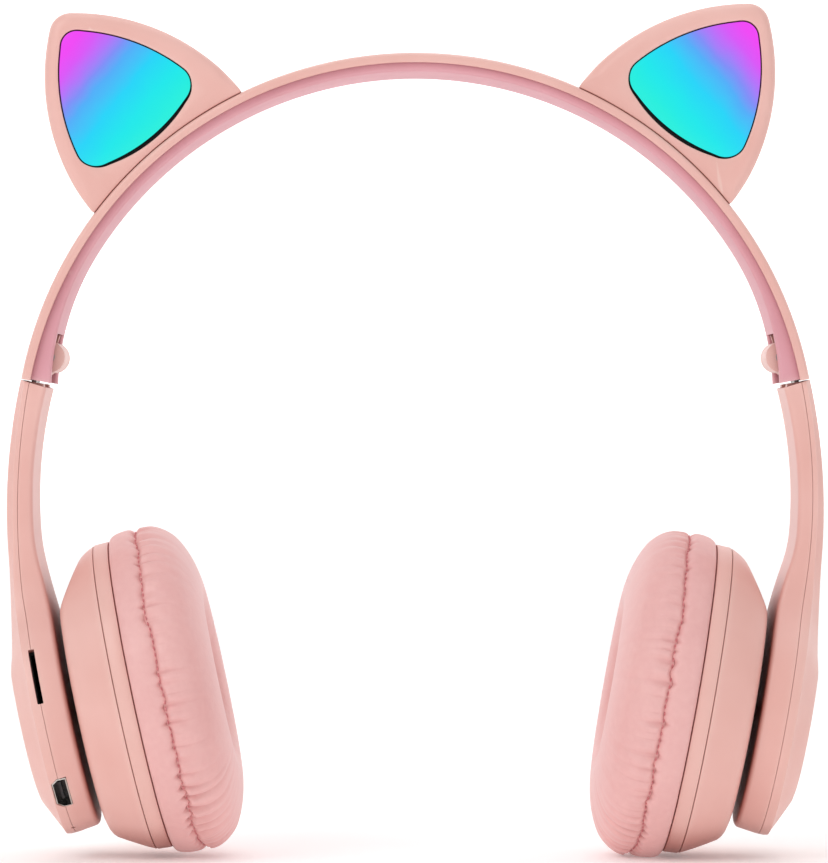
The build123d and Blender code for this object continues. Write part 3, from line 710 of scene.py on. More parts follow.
def headband_liner():
    """The rose inner face, with a notch at each end for the hinge's middle lug."""
    parts = [band_sweep(liner_section(-LINER_HALF, LINER_HALF), -NOTCH_START, NOTCH_START, cheek)]
    for low, high in ((-LINER_END, -NOTCH_START), (NOTCH_START, LINER_END)):
        parts.append(band_sweep(liner_section(-LINER_HALF, -NOTCH_HALF), low, high, cheek))
        parts.append(band_sweep(liner_section(NOTCH_HALF, LINER_HALF), low, high, cheek))
    points, faces = joined(parts)
    piece("band_liner", points, faces, "headband", LINER, ["headband_liner"])


# ------------------------------------------------------------------ ears
EAR_ANGLES = {"r": 39.4, "l": 37.8}  # from the band's top, in degrees
PANEL_SHIFT = 0.65  # how far the light panel stands outwards of the ear's middle
EAR_HALF = 20.6
EAR_BASE_R = 86.05
EAR_TIP_R = 120.3
EAR_FRONT = 13.0
EAR_BACK = 12.0
EAR_SPLIT = -3.0
EAR_POINTS = 96  # on each curve of an ear's outline


def in_ear(side, along, radius, front):
    """A point of the ear's own frame as a point of the row frame, in metres."""
    turn = math.radians(SIDES[side] * EAR_ANGLES[side])
    sideways = Vector((math.cos(turn), 0, -math.sin(turn)))
    outward = Vector((math.sin(turn), 0, math.cos(turn)))
    return (BAND_CENTRE + sideways * along + outward * radius + FRONT * front) * MM


def resample(path, count):
    """A closed path as evenly spaced points."""
    lengths = [0.0]
    loop = path + path[:1]
    for a, b in zip(loop, loop[1:]):
        lengths.append(lengths[-1] + (b - a).length)
    result, k = [], 0
    for i in range(count):
        want = lengths[-1] * i / count
        while lengths[k + 1] < want:
            k += 1
        span = lengths[k + 1] - lengths[k] or 1.0
        result.append(loop[k].lerp(loop[k + 1], (want - lengths[k]) / span))
    return result


def ear_outline():
    """The ear seen from the front, counter-clockwise from the middle of its base."""
    foot = math.sqrt(EAR_BASE_R**2 - EAR_HALF**2)
    shoulder = (3.3, EAR_TIP_R - 1.4)
    belly = (15.7, 103.5)
    quarter = math.sqrt(EAR_BASE_R**2 - EAR_HALF**2 / 4)
    path = through((0, EAR_BASE_R), (EAR_HALF / 2, quarter), (EAR_HALF, foot), 30)
    path += through((EAR_HALF, foot), belly, shoulder, 60)[1:]
    path += through(shoulder, (0, EAR_TIP_R), (-shoulder[0], shoulder[1]), 24)[1:]
    path += through((-shoulder[0], shoulder[1]), (-belly[0], belly[1]), (-EAR_HALF, foot), 60)[1:]
    path += through((-EAR_HALF, foot), (-EAR_HALF / 2, quarter), (0, EAR_BASE_R), 30)[1:-1]
    return softened(resample(path, 3 * EAR_POINTS), 3)


def panel_outline(side, grow=0.0):
    """The light panel seen from the front, grown or shrunk by an amount."""
    shoulder, tip = (2.8, 114.6), 116.1
    belly, top, mid, low, bottom = (10.9, 104.0), (14.6, 93.9), (13.6, 91.0), (10.6, 89.4), 87.8
    right = through((0, bottom), (5.4, 88.21), low, 20)
    right += through(low, mid, top, 16)[1:]
    right += through(top, belly, shoulder, 40)[1:]
    right += through(shoulder, (1.6, 115.7), (0, tip), 8)[1:]
    left = [Vector((-p.x, p.y)) for p in right[1:-1]][::-1]
    path = softened(resample(right + left, 3 * EAR_POINTS), 8)
    shift = Vector((SIDES[side] * PANEL_SHIFT, 0))
    return matched([p + shift for p in inset(path, -grow)], ear_outline())


def with_neighbours(loop):
    """Twice each vector of a closed loop added to the ones either side of it."""
    return [loop[i - 1] + loop[i] * 2 + loop[(i + 1) % len(loop)] for i in range(len(loop))]


def softened(path, rounds):
    """A closed path with its corners eased, by averaging each point with its neighbours."""
    for _ in range(rounds):
        path = [total / 4 for total in with_neighbours(path)]
    return path


EAR_MIDDLE = Vector((0, 99.0))


def matched(path, guide):
    """For each point of a guide, the point of a path that lies the same way from the middle."""
    turns = sorted((math.atan2(p.y - EAR_MIDDLE.y, p.x - EAR_MIDDLE.x), p.x, p.y) for p in path)
    before, after = turns[-1], turns[0]
    turns = [(before[0] - 2 * math.pi, *before[1:])] + turns + [(after[0] + 2 * math.pi, *after[1:])]
    keys = [turn for turn, _, _ in turns]
    result = []
    for p in guide:
        turn = math.atan2(p.y - EAR_MIDDLE.y, p.x - EAR_MIDDLE.x)
        k = bisect.bisect(keys, turn)
        low, high = turns[k - 1], turns[k]
        share = (turn - low[0]) / (high[0] - low[0] or 1.0)
        result.append(Vector(low[1:]).lerp(Vector(high[1:]), share))
    return result


def towards(path, depths, target):
    """Move a path towards the matching points of a target by a distance square to its own run."""
    normals = outward_normals(path)
    result = []
    for i, (p, q) in enumerate(zip(path, target)):
        run = p - q
        square = max(0.45 * run.length, run.dot(normals[i]))
        result.append(p - run * min(0.85, depths[i] / square))
    return result


def rolls(path, roll):
    """How far the ear's edge is rolled at each point: full at its sides, crisp along its base."""
    return [0.3 + (roll - 0.3) * smoothstep(0.4, 4.0, p.length - EAR_BASE_R) for p in path]


def settled(p, front):
    """Bring the ear's foot down on to the band, which falls away towards its edges."""
    above = 1 - smoothstep(0.0, 7.0, p.length - EAR_BASE_R)
    return p * (1 - 0.84 * (front / SHELL_HALF) ** 2 * above / p.length)


def outward_normals(path):
    """Unit normals of a counter-clockwise closed path."""
    normals = []
    for i in range(len(path)):
        run = path[(i + 1) % len(path)] - path[i - 1]
        normals.append(Vector((run.y, -run.x)).normalized())
    return normals


def inset(path, amount):
    """Move a closed path inwards along its normals, smoothed so that its corners stay round."""
    normals = outward_normals(path)
    for _ in range(6):
        normals = [total.normalized() for total in with_neighbours(normals)]
    return [p - n * amount for p, n in zip(path, normals)]


def ear_mesh(side, rings):
    """Points of an ear from rings of (path, place in front of the middle plane at each point)."""
    points = []
    for path, fronts in rings:
        for i, p in enumerate(path):
            front = fronts[i] if isinstance(fronts, list) else fronts
            q = settled(p, front)
            points.append(in_ear(side, q.x, q.y, front))
    return points


def ear_housing(side):
    """The front housing: side walls, a rolled front edge and a bezel with its opening."""
    outer = ear_outline()
    roll = rolls(outer, 2.5)
    panel = panel_outline(side)
    split = EAR_SPLIT + 0.06

    def inward(depth):
        return towards(outer, [depth] * len(outer), panel)

    rings = [(inward(1.7), split), (inward(0.22), split), (inward(0.05), split + 0.07)]
    rings.append((outer, split + 0.25))
    for share in (0.25, 0.5, 0.75, 1.0):
        rings.append((outer, [split + 0.25 + (EAR_FRONT - d - split - 0.25) * share for d in roll]))
    for k in range(1, 9):
        turn = math.pi / 2 * k / 8
        path = towards(outer, [d * (1 - math.cos(turn)) for d in roll], panel)
        rings.append((path, [EAR_FRONT - d * (1 - math.sin(turn)) for d in roll]))
    flat = rings[-1][0]
    edge = panel_outline(side, 0.42)
    for share in (0.33, 0.66):
        rings.append(([a.lerp(b, share) for a, b in zip(flat, edge)], EAR_FRONT))
    rings += [(edge, EAR_FRONT), (panel_outline(side, 0.3), EAR_FRONT - 0.07)]
    rings += [(panel_outline(side, 0.24), EAR_FRONT - 0.25), (panel_outline(side, 0.24), EAR_FRONT - 2.0)]
    rings.append((inward(1.7), EAR_FRONT - 2.6))
    faces = ring_faces(len(rings), 3 * EAR_POINTS)
    points = ear_mesh(side, rings)
    name = f"ear_front_{side}"
    piece(name, points, faces, "headband", SHELL, [f"ear_housing_{side}"], smooth_angle=50)


def ear_back_at(radius):
    """How far in front of the middle plane the ear's back is, at a height up the ear."""
    return 0.1 - EAR_BACK + 7.3 * smoothstep(82, 126, radius)


def ear_back(side):
    """The rear cover: short side walls and a back that slopes in towards the tip."""
    outer = ear_outline()
    roll = rolls(outer, 3.0)
    panel = panel_outline(side)
    split = EAR_SPLIT - 0.06
    count = 3 * EAR_POINTS
    rings = []
    for depth, front in ((1.7, split), (0.22, split), (0.05, split - 0.07), (0.0, split - 0.25)):
        rings.append((towards(outer, [depth] * count, panel), front))
    for k in range(9):
        turn = math.pi / 2 * k / 8
        path = towards(outer, [d * (1 - math.cos(turn)) for d in roll], panel)
        rings.append((path, [ear_back_at(p.y) + d * (1 - math.sin(turn)) for p, d in zip(path, roll)]))
    last = rings[-1][0]
    for share in (0.15, 0.3, 0.45, 0.6, 0.75, 0.9, 0.98):
        path = [p.lerp(EAR_MIDDLE, share) for p in last]
        rings.append((path, [ear_back_at(p.y) for p in path]))
    faces = capped(len(rings), count)
    name = f"ear_rear_{side}"
    points = ear_mesh(side, rings)
    piece(name, points, faces, "headband", SHELL, [f"ear_back_cover_{side}"], 50)


def ear_panel(side):
    """The opal window: nearly flush, with a fine rounded edge and a slight crown."""
    rings = [(panel_outline(side, 0.9), EAR_FRONT - 3.1), (panel_outline(side, 0.9), EAR_FRONT - 2.1)]
    rings += [(panel_outline(side), EAR_FRONT - 2.1), (panel_outline(side), EAR_FRONT - 0.4)]
    rings += [(panel_outline(side, -0.1), EAR_FRONT - 0.24), (panel_outline(side, -0.3), EAR_FRONT - 0.18)]
    outer = panel_outline(side, -0.3)
    for share in (0.25, 0.5, 0.75, 0.95):
        rings.append(([p.lerp(EAR_MIDDLE, share) for p in outer], EAR_FRONT - 0.18 + 0.18 * share))
    count = 3 * EAR_POINTS
    points = [in_ear(side, p.x, p.y, front) for path, front in rings for p in path]
    faces = capped(len(rings), count)
    name = f"ear_window_{side}"
    piece(name, points, faces, "headband", LIT[side], [f"ear_light_panel_{side}"])


# ------------------------------------------------------------------ cups
FACET_LOW = Vector((21.2, -12.8))  # the flat at the cup's upper rear, as (up, axial)
FACET_HIGH = Vector((31.6, -6.7))


def facet(depth):
    """A shape function that presses the cup's upper rear flat, with softly rounded edges."""
    run = (FACET_HIGH - FACET_LOW).normalized()
    normal = Vector((run.y, -run.x))
    if normal.x < 0:
        normal = -normal
    reach = normal.dot(FACET_LOW) - depth

    def press(up, front, along):
        over = normal.x * up + normal.y * along - reach
        moved = (over + math.sqrt(over * over + 0.35)) / 2
        if moved < 0.02:
            return up, front, along
        return up - normal.x * moved, front, along - normal.y * moved

    return press


def cup_housing(side):
    """The cup's rear shell: a shallow dome with a flat back and a planar cut behind its top."""
    outer = [(-3.45, 31.7), (-3.45, 33.0), (-3.6, 33.15), (-5.0, 32.5), (-6.7, 31.6), (-9.0, 30.3)]
    outer += [(-11.0, 29.1), (-11.7, 28.4), (-12.2, 27.5), (-12.55, 26.2), (-12.7, 24.4), (-12.7, 18)]
    outer += [(-12.7, 12), (-12.7, 4.8), (-12.5, 4.6)]
    inner = [(-11.1, 4.6), (-11.1, 14), (-11.1, 25.6), (-10.6, 27.4), (-6.3, 30.1)]
    outline = divided([Vector(p) for p in outer], 1.2)
    cut, cut_inside = facet(0.0), facet(1.6)
    around = 240
    points = []
    for p in outline:
        points += ring_points(side, p.x, p.y, around, cut)
    for axial, radius in inner:
        points += ring_points(side, axial, radius, around, cut_inside)
    faces = ring_faces(len(outline) + len(inner), around)
    name = f"cup_rear_{side}"
    piece(name, points, faces, f"cup_{side}", SHELL, [f"cup_housing_{side}"])


def cup_ring(side):
    """The cup's front ring and baffle, with a fine edge at the parting line."""
    outline = [(0, 17.5), (0, 33.1), (-0.12, 33.35), (-0.35, 33.45), (-3.1, 33.3), (-3.25, 33.2)]
    outline += [(-3.35, 33.0), (-3.35, 31.5), (-1.8, 31.4), (-1.8, 30.3), (-5.0, 30.2), (-5.0, 29.0)]
    outline += [(-1.8, 29.0), (-1.8, 21.8), (-3.6, 21.8), (-3.6, 20.2), (-0.6, 20.2), (-0.6, 17.5)]
    points, faces = lathe(side, outline, 240)
    name = f"cup_baffle_{side}"
    piece(name, points, faces, f"cup_{side}", SHELL, [f"cup_front_ring_{side}"])


# ------------------------------------------------------------------ ear cushions
SEAM_AT = 6.3  # the stitched seam's place along the cup's axis
PUCKERS = 78
CUSHION_AROUND = 720  # enough for ten points across the finest pucker
STITCHES = 150
STITCH_RINGS = 5
STITCH_AROUND = 6


def pucker_field(seed):
    """Creases that gather the front panel at the seam: (angle, width, depth, length) each."""
    chance = random.Random(seed)
    creases = []
    for k in range(PUCKERS):
        angle = 2 * math.pi * (k + chance.uniform(-0.38, 0.38)) / PUCKERS
        low_half = 0.5 - 0.5 * math.cos(angle)
        depth = (1.0 + 0.7 * low_half) * chance.uniform(0.2, 1.3)
        width = chance.uniform(0.016, 0.034)
        creases.append((angle, width, depth, chance.uniform(1.6, 3.4) + 0.8 * low_half))
    return creases


def ear_cushion(side):
    """The ring cushion: a smooth rear band, a stitched seam, and a gathered, crowned front."""
    profile = [(0.12, 14.0), (0.12, 31.5), (0.15, 33.2), (0.55, 34.1), (1.6, 34.75), (3.2, 35.1)]
    profile += [(4.7, 35.15), (5.5, 34.9), (6.0, 34.45), (SEAM_AT, 34.1), (6.6, 34.4), (7.1, 34.85)]
    profile += [(8.1, 35.0), (9.6, 34.9), (11.2, 34.3), (12.8, 33.2), (14.3, 31.6), (15.6, 29.2)]
    profile += [(16.7, 26.3), (17.4, 23.3), (17.7, 20.6), (17.3, 18.0), (16.3, 15.9), (14.6, 14.2)]
    profile += [(12.0, 13.2), (8.0, 12.9), (3.0, 13.2)]
    outline = catmull([Vector(p) for p in profile], 4)
    creases = pucker_field(11 if side == "r" else 23)
    chance = random.Random(5)
    waves = [(n, chance.uniform(0, 6.28), chance.uniform(0.03, 0.10)) for n in (3, 5, 7, 11, 17, 29)]
    points = []
    for p in outline:
        past = p.x - SEAM_AT
        for i in range(CUSHION_AROUND):
            angle = 2 * math.pi * i / CUSHION_AROUND
            wander = wander_at(waves, angle)
            near = math.exp(-((past / 2.5) ** 2))
            axial = p.x + (wander * 2.0 - 0.5 * crease_at(creases, angle, 0.6)) * near
            radius = p.y
            if p.y > 16:
                dip = crease_at(creases, angle, past)
                radius -= dip * max(0.0, min(1.0, (p.y - 16) / 6))
                axial -= dip * 0.35 * smoothstep(9, 15, p.x)
                radius += wander * 0.8
            points.append(in_cup(side, radius * math.cos(angle), radius * math.sin(angle), axial))
    faces = ring_faces(len(outline), CUSHION_AROUND)
    name = f"cushion_{side}"
    stands_for = [f"ear_cushion_{side}"]
    made = piece(name, points, faces, f"cup_{side}", LEATHER, stands_for, 80)
    return creases, waves


def wander_at(waves, angle):
    """How far the seam strays from a true circle at an angle."""
    return sum(height * math.sin(n * angle + phase) for n, phase, height in waves)


def crease_at(creases, angle, past):
    """How far the gathered front is pressed in, at an angle and a distance past the seam."""
    if past < -2.2:
        return 0.0
    total = 0.0
    for centre, width, depth, length in creases:
        off = (angle - centre + math.pi) % (2 * math.pi) - math.pi
        if abs(off) > 3 * width:
            continue
        along = smoothstep(-0.3, 0.9, past) * math.exp(-max(0.0, past) / length)
        if past < 0:
            along = 0.35 * math.exp(past / 0.8)
        total += depth * along * (math.exp(-((off / width) ** 2)) - 0.25)
    return total


def catmull(outline, steps):
    """A smooth closed curve through the points."""
    result = []
    count = len(outline)
    for i in range(count):
        a, b, c, d = (outline[(i + k) % count] for k in (-1, 0, 1, 2))
        for k in range(steps):
            t = k / steps
            square = (2 * a - 5 * b + 4 * c - d) * t * t
            cube = (3 * b - 3 * c + d - a) * t**3
            result.append(0.5 * ((2 * b) + (c - a) * t + square + cube))
    return result


def seam_stitches(side, waves):
    """The lockstitch that closes the seam: short raised stitches lying in its groove."""
    points, faces = [], []
    for k in range(STITCHES):
        centre = 2 * math.pi * (k + 0.5) / STITCHES
        half = 0.36 * 2 * math.pi / STITCHES
        for step in range(STITCH_RINGS):
            angle = centre + half * (step / 2 - 1)
            wander = wander_at(waves, angle)
            lift = 34.22 + 0.16 * math.sin(math.pi * step / 4) + wander * 0.8
            thick = 0.17 * math.sqrt(max(0.05, 1 - (step / 2 - 1) ** 2))
            for turn in range(STITCH_AROUND):
                about = 2 * math.pi * turn / STITCH_AROUND
                radius = lift + thick * math.cos(about)
                axial = SEAM_AT + wander * 1.6 + thick * math.sin(about)
                points.append(in_cup(side, radius * math.cos(angle), radius * math.sin(angle), axial))
        faces += capped(STITCH_RINGS, STITCH_AROUND, first=k * STITCH_RINGS * STITCH_AROUND)
    piece(f"seam_stitches_{side}", points, faces, f"cup_{side}", THREAD)


# ------------------------------------------------------------------ arms
STEM_HALF = 12.6
DISC_R = 26.2
DISC_INNER = -14.15
DISC_SEAM = -19.6
DISC_EDGE = -21.6
DISC_OUTER = -25.4
ARM_TOP = ((78.5, 14.1), (84.1, 15.85))
STRIP_SLOT_HALF = 5.9
COLLAR_HALF = 11.0


def arm_outline():
    """Half of the arm's outline seen from the side, from its top to the plate's foot."""
    joint = 16.0  # radius of the hollow where the arm runs into the plate
    reach = math.sqrt((DISC_R + joint) ** 2 - (STEM_HALF + joint) ** 2)
    turn = math.atan2(reach, STEM_HALF + joint)
    top = 76.0
    half = [Vector((top - (top - reach) * k / 40, STEM_HALF)) for k in range(41)]
    for k in range(1, 17):
        angle = math.pi + turn * k / 16
        half.append(Vector((reach + joint * math.sin(angle), STEM_HALF + joint + joint * math.cos(angle))))
    start = math.atan2(half[-1].y, half[-1].x)
    for k in range(1, 61):
        angle = start + (math.pi - start) * k / 60
        half.append(Vector((DISC_R * math.cos(angle), DISC_R * math.sin(angle))))
    return half


def height_curve(side, section_points, plate_points):
    """An arm surface's place along the cup's axis, as a function of how far up the arm it is."""
    samples = [section_to_cup(side, p.x, p.y) for p in section_points]
    samples += plate_points
    samples.sort(key=lambda s: s[1])

    def at(up):
        if up <= samples[0][1]:
            return samples[0][0]
        for (a, low), (b, high) in zip(samples, samples[1:]):
            if up <= high:
                share = (up - low) / (high - low or 1.0)
                return a + (b - a) * share
        return samples[-1][0]

    return at


def smoothed(function, reach):
    """A function averaged over a stretch either side of each place."""
    return lambda up: sum(function(up + reach * k / 4) for k in range(-4, 5)) / 9


def arm_curves(side):
    """The outer face, parting line and inner face of one arm."""
    outer = through(ARM_TOP[1], (86.95, -6.0), (86.4, -25.0), 40, before=0.15)
    outer_at = height_curve(side, outer, [(DISC_OUTER, 16.5), (DISC_OUTER, -30.0)])
    origin, upward, axis = CUPS[side]
    foot = (origin + axis * DISC_SEAM + upward * DISC_R) - BAND_CENTRE
    seam = through((81.6, 18.0), (84.55, -7.0), (abs(foot.x), foot.z), 40, before=0.1)
    seam_at = height_curve(side, seam, [(DISC_SEAM, 22.0), (DISC_SEAM, -30.0)])
    inner = through((80.8, -20.5), (81.45, -7.0), ARM_TOP[0], 40, after=0.12)
    plate_inner = [(DISC_INNER - 0.45, 27.0), (DISC_INNER, 20.6), (DISC_INNER, -30.0)]
    inner_at = height_curve(side, inner, plate_inner)
    return smoothed(outer_at, 3.0), smoothed(seam_at, 1.5), smoothed(inner_at, 3.5)


def outline_ring(depths):
    """The arm's whole outline, moved in by an amount that depends on how far up each point is."""
    half = arm_outline()
    path = half + [Vector((p.x, -p.y)) for p in half[-2::-1]]
    normals = []
    for i, p in enumerate(path):
        run = path[(i + 1) % len(path)] - path[i - 1]
        normals.append(Vector((-run.y, run.x)).normalized())
    if normals[10].y < 0:
        normals = [-n for n in normals]
    top = path[0].x
    result = []
    for p, n in zip(path, normals):
        if p.x > top - 0.01:
            n = Vector((0, 1 if p.y > 0 else -1))
        result.append((p, p - n * depths(p.x)))
    return result


def arm_rings(side, rings):
    """Points of rings given as (inset by height, axial by height)."""
    points = []
    for depths, axial in rings:
        for at, moved in outline_ring(depths):
            points.append(in_cup(side, moved.x, moved.y, axial(at.x)))
    return points


def mirror_ladder(start, count, points, rungs=12):
    """Close a ring whose first and last points are mirror images, with rows from side to side."""
    rows = []
    for i in range(count // 2):
        left, right = start + i, start + count - 1 - i
        row = [left]
        for k in range(1, rungs):
            points.append(points[left].lerp(points[right], k / rungs))
            row.append(len(points) - 1)
        row.append(right)
        rows.append(row)
    faces = []
    for upper, lower in zip(rows, rows[1:]):
        for k in range(rungs):
            faces.append((upper[k], upper[k + 1], lower[k + 1], lower[k]))
    if count % 2:
        middle = start + count // 2
        for k in range(rungs):
            faces.append((rows[-1][k], rows[-1][k + 1], middle))
    return faces


def arm_solid(side, name, rings):
    """A closed mesh through rings from the arm's one face to its other, cut off at the top."""
    points = arm_rings(side, rings)
    count = len(points) // len(rings)
    faces = ring_faces(len(rings), count, closed_rings=False)
    faces += mirror_ladder(0, count, points)
    faces += mirror_ladder((len(rings) - 1) * count, count, points)
    a, b = (Vector((SIDES[side] * x, 0, z)) + BAND_CENTRE for x, z in ARM_TOP)
    normal = Vector((0, 1, 0)).cross(b - a)
    if normal.z < 0:
        normal = -normal

    def cut_top(build):
        """Cut the arm off along its sloping top, and close the cut."""
        cut = bmesh.ops.bisect_plane(
            build,
            geom=build.verts[:] + build.edges[:] + build.faces[:],
            plane_co=a * MM,
            plane_no=normal,
            clear_outer=True,
        )
        rim = [g for g in cut["geom_cut"] if isinstance(g, bmesh.types.BMEdge)]
        bmesh.ops.contextual_create(build, geom=rim)

    return meshed(name, points, faces, change=cut_top)


def constant(value):
    return lambda up: value


def shifted(function, amount):
    return lambda up: function(up) + amount


def blended(low_value, high_value, low=17.0, high=36.0):
    """One value on the plate that runs into another on the arm."""
    return lambda up: low_value + (high_value - low_value) * smoothstep(low, high, up)


def outer_rings(side):
    """The outer cover: a short wall at the parting line, then the bevel, then the face."""
    outer_at, seam_at, _ = arm_curves(side)
    wall = blended(2.0, 1.1, 20.0, 40.0)

    def edge_at(up):
        """Where the bevel starts, which is never past the outer face."""
        return max(seam_at(up) - 2.0, outer_at(up)) if up < 0 else seam_at(up) - wall(up)

    rings = [(constant(2.0), shifted(seam_at, -0.03)), (constant(0.12), shifted(seam_at, -0.03))]
    rings.append((constant(0.03), shifted(seam_at, -0.13)))
    rings.append((constant(0.0), lambda up: seam_at(up) - wall(up) * 0.6))
    bevel_in = blended(7.9, 2.2)
    bevel = [(0.02, 0.0), (0.10, 0.06), (0.30, 0.28), (0.6, 0.59)]
    bevel += [(0.88, 0.875), (0.96, 0.955), (1.06, 1.0)]
    for share, drop in bevel:
        rings.append(
            (
                lambda up, share=share: bevel_in(up) * share,
                lambda up, drop=drop: edge_at(up) + (outer_at(up) - edge_at(up)) * drop,
            )
        )
    return rings


def inner_rings(side):
    """The inner cover: a tapered wall, a rolled edge and the face behind the cup."""
    _, seam_at, inner_at = arm_curves(side)
    rings = [(constant(2.0), shifted(seam_at, 0.03)), (constant(0.12), shifted(seam_at, 0.03))]
    rings.append((constant(0.03), shifted(seam_at, 0.13)))
    taper = blended(0.6, 0.15)
    roll = blended(1.3, 1.2)
    for share in (0.15, 0.4, 0.7):
        rings.append(
            (
                lambda up, share=share: taper(up) * share,
                lambda up, share=share: seam_at(up) + (inner_at(up) - roll(up) - seam_at(up)) * share,
            )
        )
    for k in range(7):
        turn = math.pi / 2 * k / 6
        rings.append(
            (
                lambda up, turn=turn: taper(up) + roll(up) * (1 - math.cos(turn)),
                lambda up, turn=turn: inner_at(up) - roll(up) * (1 - math.sin(turn)),
            )
        )
    return rings


def cut_away(made, tools):
    """Subtract each tool from a mesh, then delete the tools."""
    for tool in tools:
        change = made.modifiers.new("cut", "BOOLEAN")
        change.operation = "DIFFERENCE"
        change.solver = "EXACT"
        change.object = tool
    bpy.context.view_layer.update()
    baked = bpy.data.meshes.new_from_object(made.evaluated_get(bpy.context.evaluated_depsgraph_get()))
    made.modifiers.clear()
    made.data = baked
    for tool in tools:
        bpy.data.objects.remove(tool)


def plate_cavity(side):
    """The hollow inside the plate, which holds the boards or the battery."""
    outline = [(-15.75, 0.01), (-15.75, 23.9), (DISC_EDGE, 24.6), (-23.8, 17.7), (-23.8, 0.01)]
    around = 96
    points, _ = lathe(side, outline, around)
    return meshed("cavity", points, capped(len(outline), around), weld=False)


def bar(corners_in, corners_out):
    """A bar between two matching outlines, as a cutter."""
    points = list(corners_in) + list(corners_out)
    return meshed("bar", points, capped(2, len(corners_in)), weld=False)


def strip_channel(side, inward, outward):
    """The slot that the steel strip runs in, along the arm's slide line."""
    way = SIDES[side]
    down = Vector(JOINTS[f"extend_{side}"]["axis"])
    out = Vector((-down.z * way, 0, down.x * way))
    if out.x * way < 0:
        out = -out
    top = Vector((way * 81.35, 0, 19.2)) + BAND_CENTRE
    half = FRONT * STRIP_SLOT_HALF
    ends = []
    for along in (-8.0, 41.0):
        near = top + down * along - out * inward
        far = top + down * along + out * outward
        ends.append([(near + half) * MM, (far + half) * MM, (far - half) * MM, (near - half) * MM])
    return bar(*ends)


def rim_bar(side, angle, outline, low, high):
    """A bar through the plate's rim, from an outline of (axial, sideways) about the seam."""
    turn = math.radians(angle)
    out = Vector((math.cos(turn), math.sin(turn)))
    beside = Vector((-out.y, out.x))
    ends = []
    for radius in (low, high):
        ring = []
        for axial, sideways in outline:
            place = out * radius + beside * sideways
            ring.append(in_cup(side, place.x, place.y, DISC_SEAM + axial))
        ends.append(ring)
    return bar(*ends)


def rectangle(high, wide, radius=0.3):
    """A rounded rectangle of (axial, sideways)."""
    half_high, half_wide = high / 2, wide / 2
    box = [(a * half_high, b * half_wide) for a, b in ((-1, -1), (1, -1), (1, 1), (-1, 1))]
    return [tuple(p) for p in rounded(box, radius, 4)]


def circle(radius, axial=0.0, count=32):
    turns = [2 * math.pi * k / count for k in range(count)]
    return [(axial + radius * math.cos(t), radius * math.sin(t)) for t in turns]


CARD_ANGLE = 69.2
USB_ANGLE = 128.8
AUX_ANGLE = -150.0
MIC_ANGLE = 160.0
BUTTON_ANGLES = {"back": -50.0, "play": -68.0, "forward": -86.0, "mode": -104.0}
USB_MOUTH = [(1.72, -4.02), (1.72, 4.02), (-0.35, 4.02), (-1.72, 2.85), (-1.72, -2.85), (-0.35, -4.02)]


def rim_cuts(side):
    """The openings in the ported plate's rim, each half in one cover and half in the other."""
    cuts = [
        rim_bar(side, CARD_ANGLE, rectangle(1.3, 12.3, 0.25), 22.0, 30.0),
        rim_bar(side, USB_ANGLE, USB_MOUTH, 20.0, 30.0),
        rim_bar(side, AUX_ANGLE, circle(2.56, axial=1.1), 20.0, 30.0),
        rim_bar(side, MIC_ANGLE, circle(0.5, count=16), 20.0, 30.0),
    ]
    cuts += [rim_bar(side, angle, rectangle(3.2, 6.6, 0.7), 22.0, 30.0) for angle in BUTTON_ANGLES.values()]
    return cuts


def axial_bar(side, up, front, radius, low, high):
    """A round cutter along the cup's axis."""
    ends = []
    for axial in (low, high):
        ends.append([in_cup(side, up + a, front + b, axial) for a, b in circle(radius, count=24)])
    return bar(*ends)


def finish_cover(made, side, node):
    """Give a cut cover its material, shading and body."""
    made.data.materials.clear()
    made.data.materials.append(SHELL)
    for face in made.data.polygons:
        face.material_index = 0
    shade(made, 32)
    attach(made, f"arm_{side}")
    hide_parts(node)


def arm_covers(side):
    """Both covers of one arm, hollowed for what they hold."""
    outer = arm_solid(side, f"arm_outer_{side}", outer_rings(side))
    inner = arm_solid(side, f"arm_inner_{side}", inner_rings(side))
    outer_cuts = [plate_cavity(side), strip_channel(side, 0.5, 0.85)]
    inner_cuts = [plate_cavity(side), strip_channel(side, 0.85, 4.85)]
    inner_cuts.append(axial_bar(side, 0, 0, 2.0, -17.0, -12.0))
    if side == "r":
        outer_cuts += rim_cuts(side)
        inner_cuts += rim_cuts(side)
    cut_away(outer, outer_cuts)
    cut_away(inner, inner_cuts)
    finish_cover(outer, side, f"arm_outer_cover_{side}")
    finish_cover(inner, side, f"arm_inner_cover_{side}")


def arm_collar(side):
    """The low collar on top of an arm, which stands either side of the steel strip."""
    parts = []
    for low, high in ((-COLLAR_HALF, -STRIP_SLOT_HALF), (STRIP_SLOT_HALF, COLLAR_HALF)):
        outline = [(79.2, 13.5), (83.3, 14.8), (83.3, 15.65), (79.2, 14.95)]
        soft = rounded(outline, 0.25, 3)
        ends = [Vector((SIDES[side] * p.x, y, p.y)) for y in (low, high) for p in soft]
        points = [(BAND_CENTRE + end) * MM for end in ends]
        parts.append((points, capped(2, len(soft))))
    points, faces = joined(parts)
    piece(f"arm_collar_{side}", points, faces, f"arm_{side}", SHELL)


